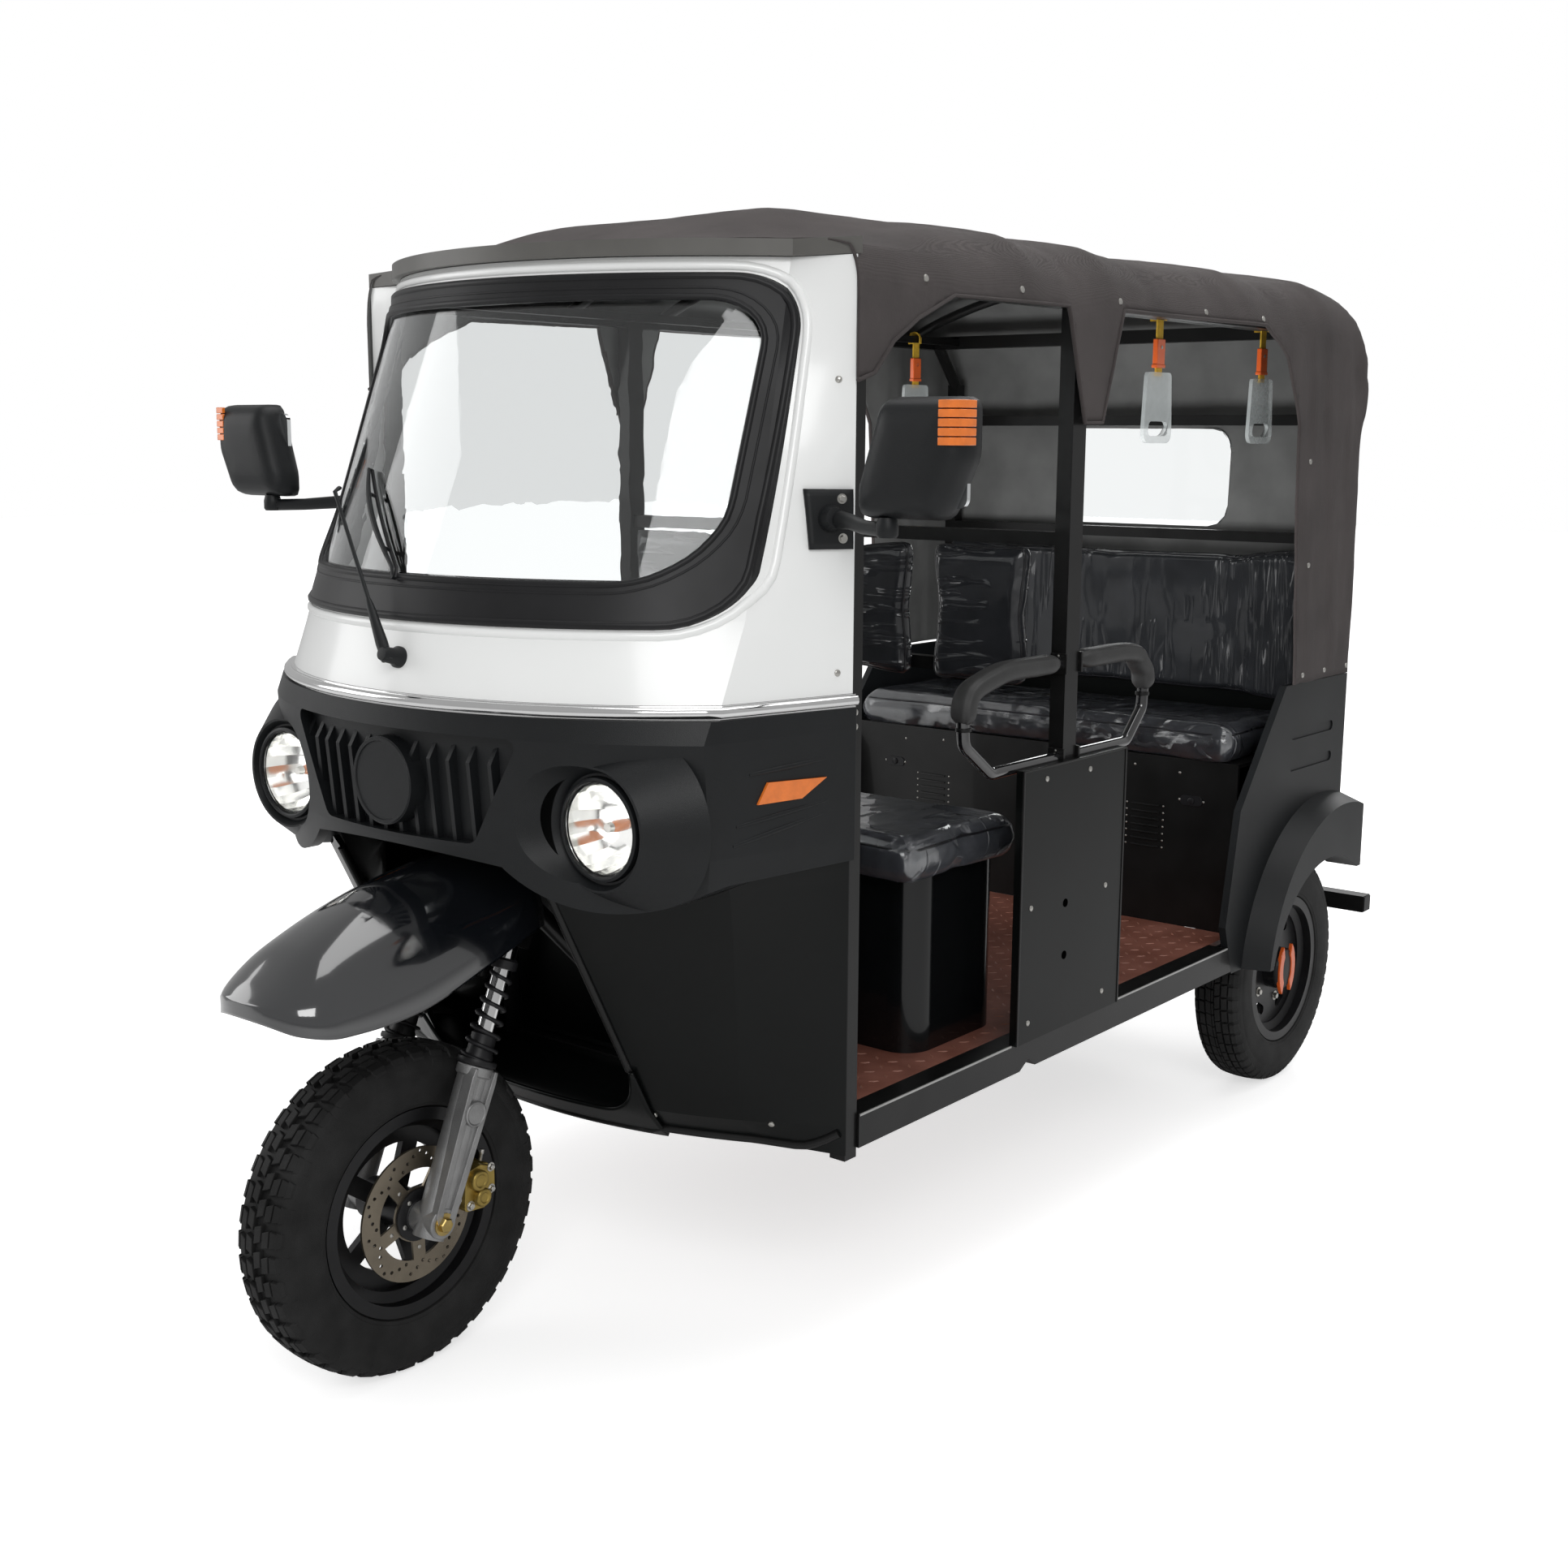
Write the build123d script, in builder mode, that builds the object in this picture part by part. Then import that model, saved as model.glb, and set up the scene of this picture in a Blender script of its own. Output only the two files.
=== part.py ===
import os
from math import cos, radians, sin, sqrt, tan

from build123d import *

os.makedirs("parts", exist_ok=True)

# Driving dimensions, mm. +X is the vehicle's left, the front faces -Y, +Z is up.
wheelbase = 2195
fender_reach = 262        # front fender tip ahead of the front axle
bumper_reach = 2590       # bumper face behind the front axle
tyre_radius = 265
tyre_width = 112
bead_radius = 152.4       # 12-inch rim
rim_flange_radius = 168
rear_wheel_x = 453        # wheel centre from the middle
body_half = 550           # outer faces of posts, sills and quarter panels
hem_height = 1695         # lower edge of the roof fabric over the doors
shoulder_rise = 102       # the fabric's rounded shoulder above the hem
crown_rise = 43           # the roof's middle above its shoulders
roof_height = hem_height + shoulder_rise + crown_rise
floor_height = 405        # top of the tread plate
belt_height = 1073        # middle of the bright strip round the nose
rake = 23                 # steering axis from the vertical, degrees
fork_offset = 40          # axle ahead of the steering axis
seat = 0.3                # gap between pieces that rest on each other
running = 0.5             # radial play of a pin or shaft in its bore

front_y = (fender_reach - bumper_reach) / 2   # front axle; the length is centred on the origin
rear_y = front_y + wheelbase
axle_height = tyre_radius

# Stations along the body, mm
post_y = front_y + 475        # middle of the front door posts
divider_y = front_y + 1115    # middle of the posts between the doors
quarter_y = front_y + 1815    # foot of the quarter panels
body_end_y = front_y + 2345   # rear panel and rear curtain
tube = 30                     # square cab tube
divider_depth = 44


def export(piece, name):
    piece.part.label = name
    export_step(piece.part, f"parts/{name}.step")


def axis_y(height):
    """Y of the steering axis at a height."""
    return front_y + fork_offset / cos(radians(rake)) + (height - axle_height) * tan(radians(rake))


def leg_y(height):
    """Y of the fork legs' middle line at a height."""
    return front_y + (height - axle_height) * tan(radians(rake))


def rod(start, end, radius):
    """Round bar from one point to another, added to the open part."""
    a, b = Vector(*start), Vector(*end)
    with BuildSketch(Plane(origin=a, z_dir=b - a)) as section:
        Circle(radius)
    extrude(section.sketch, amount=(b - a).length)


def box(x0, x1, y0, y1, z0, z1, mode=Mode.ADD):
    """Block between two corners."""
    with Locations(((x0 + x1) / 2, (y0 + y1) / 2, (z0 + z1) / 2)):
        Box(x1 - x0, y1 - y0, z1 - z0, mode=mode)


# ---- Front body -----------------------------------------------------------------------
# Plan of the nose at a height: one wide arc across the front, straight flanks to the posts.
# Columns: height, middle of the arc behind the front axle, arc radius, arc's half width
nose_plan = {
    "foot": (346, 322, 900, 400),
    "shin": (392, 284, 900, 400),
    "waist": (795, 60, 680, 480),
    "lip": (860, 16, 680, 490),
    "belt": (1073, 14, 680, 490),
    "sill": (1200, 45, 610, 485),
    "head": (1725, 250, 600, 440),
    # the cowl stands out further than the panel above it, most of all at the sides
    "chin": (770, 34, 762, 480),
    "cheek": (860, 22, 762, 490),
    "brow": (1030, 10, 762, 490),
    "rim": (1073, 18, 725, 490),
}
flank_end_y = post_y - tube / 2 - seat
panel_wall = 16
cowl_wall = 14


def nose_section(name, inset, reach=0):
    """Closed plan of the nose, moved in by a wall and run back past the flanks."""
    height, middle, radius, half = nose_plan[name]
    radius = radius - inset
    half = half * radius / (radius + inset)
    front = front_y + middle + inset
    side = front + radius - sqrt(radius**2 - half**2)
    with BuildSketch(Plane.XY.offset(height)) as section:
        with BuildLine():
            ThreePointArc((-half, side), (0, front), (half, side))
            Polyline(
                (half, side),
                (body_half - inset, flank_end_y - 2),
                (body_half - inset, flank_end_y + reach),
                (inset - body_half, flank_end_y + reach),
                (inset - body_half, flank_end_y - 2),
                (-half, side),
            )
        make_face()
    return section.sketch


def nose_shell(names, outset, wall):
    """Wall that follows the nose between the named heights."""
    loft([nose_section(name, -outset) for name in names], ruled=True)
    loft([nose_section(name, wall - outset, reach=20) for name in names], ruled=True, mode=Mode.SUBTRACT)


def through_front(sketch_outline, mode, depth=700):
    """Pushes an outline seen from the front back through the nose."""
    extrude(sketch_outline, amount=-depth, mode=mode)


def front_outline(low, high, half_low, half_high, low_corner, high_corner):
    """Rounded outline seen from the front, ahead of the nose."""
    with BuildSketch(Plane.XZ.offset(-front_y + 100)) as outline:
        with BuildLine():
            Polyline((-half_low, low), (half_low, low), (half_high, high), (-half_high, high), close=True)
        make_face()
        fillet(outline.vertices().group_by(Axis.Y)[0], low_corner)
        fillet(outline.vertices().group_by(Axis.Y)[-1], high_corner)
    return outline.sketch


seal_low, seal_high = 1190, 1702
seal_half_low, seal_half_high = 487, 472
seal_width = 40
seal_chin = 66            # the seal is deeper below the glass
screen_depth = 700        # long enough to pass through the whole nose


def glass_outline(gap):
    """Edge of the glass inside the seal, smaller by a gap."""
    return front_outline(
        seal_low + seal_chin + gap,
        seal_high - seal_width - gap,
        seal_half_low - seal_width - gap,
        seal_half_high - seal_width - gap,
        110,
        70,
    )


with BuildPart() as front_panel:
    nose_shell(["belt", "sill", "head"], 0, panel_wall)
    box(-600, 600, front_y - 50, body_end_y, 0, belt_height + 10 + seat, mode=Mode.SUBTRACT)
    through_front(front_outline(seal_low, seal_high, seal_half_low, seal_half_high, 80, 90), Mode.SUBTRACT)
export(front_panel, "front_panel")

with BuildPart() as windscreen_seal:
    nose_shell(["belt", "sill", "head"], 5, panel_wall + 5)
    through_front(
        front_outline(seal_low + seat, seal_high - seat, seal_half_low - seat, seal_half_high - seat, 80, 90),
        Mode.INTERSECT,
    )
    through_front(glass_outline(0), Mode.SUBTRACT)
export(windscreen_seal, "windscreen_seal")

glass_wall = 6
with BuildPart() as windscreen_glass:
    nose_shell(["belt", "sill", "head"], -4, glass_wall)
    through_front(glass_outline(seat), Mode.INTERSECT)
export(windscreen_glass, "windscreen_glass")

strip_height = 20
with BuildPart() as chrome_strip:
    nose_shell(["lip", "belt", "sill"], 6, panel_wall)
    box(-600, 600, front_y - 50, body_end_y, 0, belt_height - strip_height / 2, mode=Mode.SUBTRACT)
    box(-600, 600, front_y - 50, body_end_y, belt_height + strip_height / 2, 2000, mode=Mode.SUBTRACT)
export(chrome_strip, "chrome_strip")

# Lower nose with the lamp pockets and the grille opening
lamp_x, lamp_height = 365, 904
lamp_front_y = front_y + 98
lamp_radius = 69
bezel_radius = 78
pod_front_radius, pod_back_radius, pod_length = 92, 138, 66
scoop_radius, scoop_length = 122, 62      # the cowl is dished towards each lamp
grille_top, grille_bottom = 1031, 867
grille_top_half, grille_bottom_half = 259, 172
cowl_top = belt_height - strip_height / 2 - seat
cowl_side_edge, cowl_pod_edge, cowl_middle_edge = 846, 776, 850   # heights of the cowl's lower edge

# Leaf-shaped marker lamps on the flanks, let into the cowl
marker_y, marker_height = front_y + 335, 950


def marker_outline(side, gap):
    """Leaf outline seen from the side; positive gap makes it smaller."""
    g = gap
    with BuildSketch(Plane.YZ.offset(side * 400)) as outline:
        with BuildLine():
            Polyline(
                (marker_y - 60 + g, marker_height - 16 + g), (marker_y - 42 + g, marker_height + 16 - g),
                (marker_y + 66 - 3 * g, marker_height + 13 - g), (marker_y + 20 - g, marker_height - 15 + g), close=True,
            )
        make_face()
    return outline.sketch


def cowl_cut(low):
    """What lies below the cowl's lower edge, seen from the front, down to a height."""
    with BuildSketch(Plane.XZ.offset(-front_y + 100)) as cut:
        with BuildLine():
            ThreePointArc((-lamp_x + 150, cowl_middle_edge - 14), (0, cowl_middle_edge), (lamp_x - 150, cowl_middle_edge - 14))
            ThreePointArc(
                (lamp_x - 150, cowl_middle_edge - 14), (lamp_x + 5, cowl_pod_edge), (lamp_x + 135, cowl_side_edge - 28)
            )
            Polyline(
                (lamp_x + 135, cowl_side_edge - 28), (700, cowl_side_edge + 3), (700, low), (-700, low),
                (-700, cowl_side_edge + 3), (-lamp_x - 135, cowl_side_edge - 28),
            )
            ThreePointArc(
                (-lamp_x - 135, cowl_side_edge - 28), (-lamp_x - 5, cowl_pod_edge), (-lamp_x + 150, cowl_middle_edge - 14)
            )
        make_face()
    return cut.sketch


def lamp_plane(back):
    """Plane facing forward, a distance behind the lamps' front."""
    return Plane.XZ.offset(-lamp_front_y - back)


with BuildPart() as nose_cowl:
    nose_shell(["chin", "cheek", "brow", "rim"], 8, cowl_wall + 8)
    # fairings behind the lamps
    for side in (-1, 1):
        with BuildSketch(lamp_plane(-4)) as front_ring:
            with Locations((side * lamp_x, lamp_height)):
                Circle(pod_front_radius)
        with BuildSketch(lamp_plane(pod_length)) as back_ring:
            with Locations((side * (lamp_x + 22), lamp_height)):
                Circle(pod_back_radius)
        loft([front_ring.sketch, back_ring.sketch])
    # hollow behind the wall, inside the post line
    loft(
        [nose_section(name, cowl_wall + 34, reach=20) for name in ("chin", "cheek", "brow", "rim")], ruled=True,
        mode=Mode.SUBTRACT,
    )
    box(-600, 600, flank_end_y, flank_end_y + 400, 600, 1200, mode=Mode.SUBTRACT)
    box(-600, 600, front_y - 50, body_end_y, cowl_top, 2000, mode=Mode.SUBTRACT)
    through_front(cowl_cut(600), Mode.SUBTRACT)
    through_front(
        front_outline(grille_bottom, grille_top, grille_bottom_half, grille_top_half, 22, 14), Mode.SUBTRACT, 300
    )
    for side in (-1, 1):
        with BuildSketch(lamp_plane(-scoop_length)) as wide:
            with Locations((side * (lamp_x - 12), lamp_height)):
                Circle(scoop_radius)
        with BuildSketch(lamp_plane(8)) as narrow:
            with Locations((side * lamp_x, lamp_height)):
                Circle(bezel_radius + 4)
        loft([wide.sketch, narrow.sketch], mode=Mode.SUBTRACT)
        with BuildSketch(lamp_plane(-10)) as bore:
            with Locations((side * lamp_x, lamp_height)):
                Circle(bezel_radius + seat)
        extrude(bore.sketch, amount=-200, mode=Mode.SUBTRACT)
        extrude(marker_outline(side, 0), amount=side * 200, mode=Mode.SUBTRACT)
export(nose_cowl, "nose_cowl")

with BuildPart() as side_markers:
    nose_shell(["cheek", "brow"], 12, cowl_wall + 12)
    with BuildPart(mode=Mode.PRIVATE) as leaves:
        for side in (-1, 1):
            extrude(marker_outline(side, seat), amount=side * 200)
    add(leaves.part, mode=Mode.INTERSECT)
export(side_markers, "side_markers")

# Grille: upright bars with a knee, on a plate behind the cowl's opening, and a blank disc in the middle
grille_lap = 12           # the plate laps the back of the cowl round its opening
grille_wall = 6
bar_count, bar_width, bar_recess = 14, 8, 10
bar_knee, bar_lean = 42, 26               # the bars' tops lean back above the knee
disc_radius, disc_height, disc_front = 68, 947, 4
_, brow_middle, brow_radius, _ = nose_plan["brow"]


def brow_y(x):
    """Station of the cowl's face at a distance from the middle."""
    radius = brow_radius + 8
    return front_y + brow_middle - 8 + radius - sqrt(radius**2 - x**2)


with BuildPart() as grille:
    nose_shell(["chin", "cheek", "brow", "rim"], -cowl_wall - seat, grille_wall)
    through_front(
        front_outline(
            grille_bottom - grille_lap, grille_top + grille_lap, grille_bottom_half + grille_lap,
            grille_top_half + grille_lap, 22, 14,
        ),
        Mode.INTERSECT,
    )
    with BuildPart(mode=Mode.PRIVATE) as bars:
        for index in range(bar_count):
            x = (index - (bar_count - 1) / 2) * 2 * (grille_top_half - 20) / (bar_count - 1)
            face = brow_y(x) + bar_recess
            back = face + cowl_wall + grille_wall + 8
            with BuildSketch(Plane.YZ.offset(x - bar_width / 2)) as side_view:
                with BuildLine():
                    Polyline(
                        (face + 12, grille_bottom), (face, grille_top - bar_knee), (face + bar_lean, grille_top),
                        (back, grille_top), (back, grille_bottom), close=True,
                    )
                make_face()
            extrude(side_view.sketch, amount=bar_width)
        through_front(
            front_outline(
                grille_bottom + seat, grille_top - seat, grille_bottom_half - seat, grille_top_half - seat, 22, 14
            ),
            Mode.INTERSECT,
        )
    add(bars.part)
    with BuildSketch(Plane.XZ.offset(-front_y - disc_front)) as disc:
        with Locations((0, disc_height)):
            Circle(disc_radius)
    extrude(disc.sketch, amount=-38)
export(grille, "grille")

# ---- Dark panels below the nose ---------------------------------------------------------
wheel_gap_half = 245      # opening for the steered front wheel
shield_wall = 12
with BuildPart() as leg_shields:
    nose_shell(["foot", "shin"], -2, shield_wall)
    nose_shell(["shin", "waist"], -2, shield_wall)
    nose_shell(["waist", "lip"], -2, shield_wall)
    box(-600, 600, front_y - 50, body_end_y, cowl_top, 2000, mode=Mode.SUBTRACT)
    with BuildSketch(Plane.XZ.offset(-front_y + 100)) as wheel_gap:
        with BuildLine():
            Polyline(
                (-wheel_gap_half, 300), (-wheel_gap_half, 900), (wheel_gap_half, 900), (wheel_gap_half, 300),
                close=True,
            )
        make_face()
    through_front(wheel_gap.sketch, Mode.SUBTRACT)
    # the cowl's lower edge lies over the top
    with BuildPart(mode=Mode.PRIVATE) as below:
        extrude(cowl_cut(300), amount=-700)
    add(below.part, mode=Mode.INTERSECT)
export(leg_shields, "leg_shields")

# Bar over the screen that sheds the rain, level round the nose
visor_height = 24
visor_reach = 14
visor_low = hem_height + 31
with BuildPart() as visor:
    height, middle, radius, half = nose_plan["head"]
    for inset, mode in ((-visor_reach, Mode.ADD), (panel_wall, Mode.SUBTRACT)):
        arc, spread = radius - inset, half * (radius - inset) / radius
        front = front_y + middle + inset
        edge = front + arc - sqrt(arc**2 - spread**2)
        with BuildSketch(Plane.XY.offset(visor_low)) as plan:
            with BuildLine():
                ThreePointArc((-spread, edge), (0, front), (spread, edge))
                Polyline(
                    (spread, edge), (body_half - inset / 2, flank_end_y), (body_half - inset / 2, post_y + inset),
                    (inset / 2 - body_half, post_y + inset), (inset / 2 - body_half, flank_end_y), (-spread, edge),
                )
            make_face()
        extrude(plan.sketch, amount=visor_height, mode=mode)
export(visor, "visor")

# ---- Lamps ------------------------------------------------------------------------------
lamp_depth, lamp_back_radius = 90, 34
lens_crown = 12
with BuildPart() as headlamps:
    for side in (-1, 1):
        # a bowl behind the lens, with a bezel in front
        with BuildPart(mode=Mode.PRIVATE) as lamp:
            with BuildSketch(Plane.XY) as half_section:
                with BuildLine():
                    Polyline(
                        (0, lamp_depth), (0, lamp_depth - 8), (lamp_back_radius - 6, lamp_depth - 8), (lamp_radius - 4, 26),
                        (lamp_radius - 4, 12), (lamp_radius, 12), (lamp_radius, -3), (bezel_radius, 3),
                        (bezel_radius, 32), (lamp_back_radius + 8, lamp_depth), close=True,
                    )
                make_face()
            revolve(half_section.sketch, Axis.Y)
        add(lamp.part.moved(Location((side * lamp_x, lamp_front_y, lamp_height))))
export(headlamps, "headlamps")

with BuildPart() as headlamp_lenses:
    for side in (-1, 1):
        with BuildPart(mode=Mode.PRIVATE) as lens:
            with BuildSketch(Plane.XY) as half_section:
                rim = lamp_radius - seat
                ball = (rim**2 + lens_crown**2) / (2 * lens_crown)
                crest = 4 - lens_crown
                with BuildLine():
                    Line((0, 12 - seat), (rim, 12 - seat))
                    Line((rim, 12 - seat), (rim, 4))
                    ThreePointArc((rim, 4), (rim / 2, crest + ball - sqrt(ball**2 - rim**2 / 4)), (0, crest))
                    Line((0, crest), (0, 12 - seat))
                make_face()
            revolve(half_section.sketch, Axis.Y)
        add(lens.part.moved(Location((side * lamp_x, lamp_front_y, lamp_height))))
export(headlamp_lenses, "headlamp_lenses")

# ---- Chassis ----------------------------------------------------------------------------
rail_x, rail_width, rail_height = 250, 40, 60
floor_plate = 10
rail_top = floor_height - floor_plate - seat
rail_low = rail_top - rail_height
sill_height, sill_width = 55, 45
quarter_foot = 345
quarter_lean = 38 / 107   # how far the quarter panels' lower front edge leans forward
bumper_tube = 40
bumper_half = 540
neck_low, neck_high = 690, 850
neck_radius, column_radius = 27, 16
down_tube_radius = 16

axle_tube_radius = 28
spring_x, leaf_width, leaf_wall = 300, 50, 7
leaf_halves = (340, 270, 200, 130)
spring_rise = 34
spring_low = axle_height + axle_tube_radius + seat
hanger_low = spring_low + leaf_wall * len(leaf_halves) + spring_rise + seat
hanger_width = 30

with BuildPart() as chassis_frame:
    bumper_y = front_y + bumper_reach - bumper_tube
    for side in (-1, 1):
        x = side * rail_x
        box(x - rail_width / 2, x + rail_width / 2, post_y, bumper_y, rail_low, rail_top)
    for y in (post_y, divider_y - 300, divider_y + 300, quarter_y - 60):
        box(
            sill_width - body_half + seat, body_half - sill_width - seat, y, y + bumper_tube,
            rail_top - bumper_tube, rail_top,
        )
    for side in (-1, 1):
        x0, x1 = sorted((side * rail_x, side * (spring_x + leaf_width / 2)))
        for y in (rear_y - leaf_halves[0], rear_y + leaf_halves[0] - hanger_width):
            box(x0, x1, y, y + hanger_width, hanger_low, rail_top)
    box(-bumper_half, bumper_half, bumper_y, bumper_y + bumper_tube, rail_low, rail_low + bumper_tube)
    # neck for the steering column, on down tubes from the rails
    for side in (-1, 1):
        rod((0, axis_y(neck_low + 60), neck_low + 60), (side * rail_x, post_y + 20, rail_top - 30), down_tube_radius)
    rod((0, axis_y(neck_low), neck_low), (0, axis_y(neck_high), neck_high), neck_radius)
    neck_axis = Vector(0, axis_y(neck_high) - axis_y(neck_low), neck_high - neck_low)
    with BuildSketch(Plane(origin=(0, axis_y(neck_low - 40), neck_low - 40), z_dir=neck_axis)):
        Circle(column_radius + running)
    extrude(amount=400, mode=Mode.SUBTRACT)
export(chassis_frame, "chassis_frame")

with BuildPart() as floor_pan:
    box(
        sill_width - body_half + seat, body_half - sill_width - seat, post_y + 30, front_y + 1900,
        floor_height - floor_plate, floor_height,
    )
export(floor_pan, "floor_pan")

notch_y = front_y + 1000
with BuildPart() as sills:
    for side in (-1, 1):
        with BuildSketch(Plane.YZ.offset(side * (body_half - sill_width))):
            with BuildLine():
                low = floor_height - sill_height
                Polyline(
                    (post_y + tube / 2 + seat, low), (notch_y - 30, low), (notch_y, low + 18), (notch_y + 22, low),
                    (quarter_y - seat - (low - quarter_foot) * quarter_lean, low),
                    (quarter_y - seat - (floor_height - quarter_foot) * quarter_lean, floor_height),
                    (post_y + tube / 2 + seat, floor_height), close=True,
                )
            make_face()
        extrude(amount=side * sill_width)
export(sills, "sills")

# Sheet between the driver's feet and the front wheel
bulkhead_wall = 8
dash_height = 995
toe_y, dash_y = post_y + 30 - seat, front_y + 400
with BuildPart() as bulkhead:
    with BuildSketch(Plane.YZ.offset(-480)):
        with BuildLine():
            Polyline(
                (toe_y, rail_top + seat), (toe_y, floor_height), (dash_y, floor_height + 230), (dash_y, dash_height),
                (dash_y - bulkhead_wall, dash_height), (dash_y - bulkhead_wall, floor_height + 230),
                (toe_y - bulkhead_wall, floor_height), (toe_y - bulkhead_wall, rail_top + seat), close=True,
            )
        make_face()
    extrude(amount=960)
export(bulkhead, "bulkhead")

# Shelf over the steering neck, with a hole for the column
with BuildPart() as dashboard:
    box(-500, 500, lamp_front_y + pod_length + 8, dash_y, dash_height + seat, dash_height + 18)
    extrude(nose_section("belt", cowl_wall + 2), amount=-200, mode=Mode.INTERSECT)
    with BuildSketch(Plane.XY.offset(dash_height - 20)):
        with Locations((0, axis_y(dash_height))):
            Circle(column_radius + 30)
    extrude(amount=80, mode=Mode.SUBTRACT)
export(dashboard, "dashboard")

# ---- Cab tubes ----------------------------------------------------------------------------
bow_radius = 11
fabric = 6
roof_rail_height = hem_height - 10
bow_stations = (930, 1200, 1730, 2110)      # behind the front axle
shoulder_half, shoulder_height = 455, hem_height + shoulder_rise
bow_crown = roof_height - fabric - seat - bow_radius
post_x = body_half - 5
crossbar_height = 1290
grab_rail_x, grab_rail_height = 450, hem_height + 5
wheelhouse_half, wheelhouse_height = 370, 590
quarter_wall, rear_panel_wall = 16, 16
rear_post_x = body_half - quarter_wall - seat
rear_post_y = body_end_y - rear_panel_wall - 4 - tube
rear_header_y = body_end_y - 140
rear_post_top = hem_height - 95

with BuildPart() as cab_frame:
    for side in (-1, 1):
        outer, inner = side * post_x, side * (post_x - tube)
        x0, x1 = min(outer, inner), max(outer, inner)
        box(x0, x1, post_y - tube / 2, post_y + tube / 2, rail_low, roof_rail_height)
        box(
            x0, x1, divider_y - divider_depth / 2, divider_y + divider_depth / 2, floor_height + seat,
            roof_rail_height,
        )
        x0, x1 = sorted((side * grab_rail_x - 8, side * grab_rail_x + 8))
        box(x0, x1, post_y, rear_header_y + 5, grab_rail_height - 8, grab_rail_height + 8)
        x0, x1 = sorted((side * post_x, side * (post_x - tube)))
        box(x0, x1, post_y - tube / 2, rear_header_y + tube, roof_rail_height, roof_rail_height + tube)
        x0, x1 = sorted((side * rear_post_x, side * (rear_post_x - tube)))
        box(x0, x1, rear_post_y, rear_post_y + tube, wheelhouse_height + 12, rear_post_top)
        rod(
            (side * (rear_post_x - tube / 2), rear_post_y + tube / 2, rear_post_top - 5),
            (side * (rear_post_x - tube / 2), rear_header_y + tube / 2, roof_rail_height + tube / 2), tube / 2 - 1,
        )
    for y in (post_y - tube / 2, rear_header_y):
        box(-post_x, post_x, y, y + tube, roof_rail_height, roof_rail_height + tube)
    for height in (1510, 1245, 1050):
        box(-rear_post_x, rear_post_x, rear_post_y, rear_post_y + 24, height - 12, height + 12)
    for height in (1050, crossbar_height):
        box(-post_x, post_x, divider_y - 12, divider_y + 12, height - 12, height + 12)
    for station in bow_stations:
        end = (post_x - tube, roof_rail_height + tube - 5)
        with BuildLine(Plane.XZ.offset(-front_y - station)) as bow:
            ThreePointArc((-end[0], end[1]), (0, bow_crown), end)
        with BuildSketch(Plane(origin=bow.line @ 0, z_dir=bow.line % 0)):
            Circle(bow_radius)
        sweep(path=bow.line)
export(cab_frame, "cab_frame")

# ---- Roof fabric --------------------------------------------------------------------------
canopy_half = body_half + 8
curtain_foot = 945
curtain_front = front_y + 2035
window_half, window_low, window_high = 232, 1263, 1491
canopy_front = front_y + 230


def canopy_section(inset):
    """Front view of the fabric: upright sides, rounded shoulders, crowned top."""
    with BuildSketch(Plane.XZ.offset(-canopy_front + 60)) as section:
        with BuildLine():
            side, foot = canopy_half - inset, curtain_foot - 100
            Polyline((-side, foot), (side, foot), (side, hem_height))
            ThreePointArc(
                (side, hem_height), (side - 32, shoulder_height - 33 - inset),
                (shoulder_half, shoulder_height - inset),
            )
            ThreePointArc(
                (shoulder_half, shoulder_height - inset), (0, roof_height - inset),
                (-shoulder_half, shoulder_height - inset),
            )
            ThreePointArc(
                (-shoulder_half, shoulder_height - inset), (32 - side, shoulder_height - 33 - inset),
                (-side, hem_height),
            )
            Line((-side, hem_height), (-side, foot))
        make_face()
    return section.sketch


def canopy_side(inset, front):
    """Side view of the fabric: rise from the visor, long top, rounded back."""
    back = body_end_y + 4 - inset
    top = roof_height + 5 - inset
    with BuildSketch(Plane.YZ.offset(-700)) as section:
        with BuildLine():
            Polyline((back, curtain_foot), (front, curtain_foot), (front, visor_low + 28 - inset))
            ThreePointArc(
                (front, visor_low + 28 - inset), (front_y + 600, top - 20), (front_y + 960, top),
            )
            Line((front_y + 960, top), (back - 195, top - 4))
            ThreePointArc((back - 195, top - 4), (back - 50, 1735 - inset), (back, 1480))
            Line((back, 1480), (back, curtain_foot))
        make_face()
    return section.sketch


def trim_front(front, top):
    """Cuts away what stands ahead of the arc of the visor, up to a height."""
    height, middle, radius, half = nose_plan["head"]
    edge = front + radius - sqrt(radius**2 - half**2)
    with BuildSketch(Plane.XY.offset(1500)) as ahead:
        with BuildLine():
            ThreePointArc((-half, edge), (0, front), (half, edge))
            Polyline(
                (half, edge), (700, post_y - 2), (700, front_y - 200), (-700, front_y - 200), (-700, post_y - 2),
                (-half, edge),
            )
        make_face()
    extrude(ahead.sketch, amount=top - 1500, mode=Mode.SUBTRACT)


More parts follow.
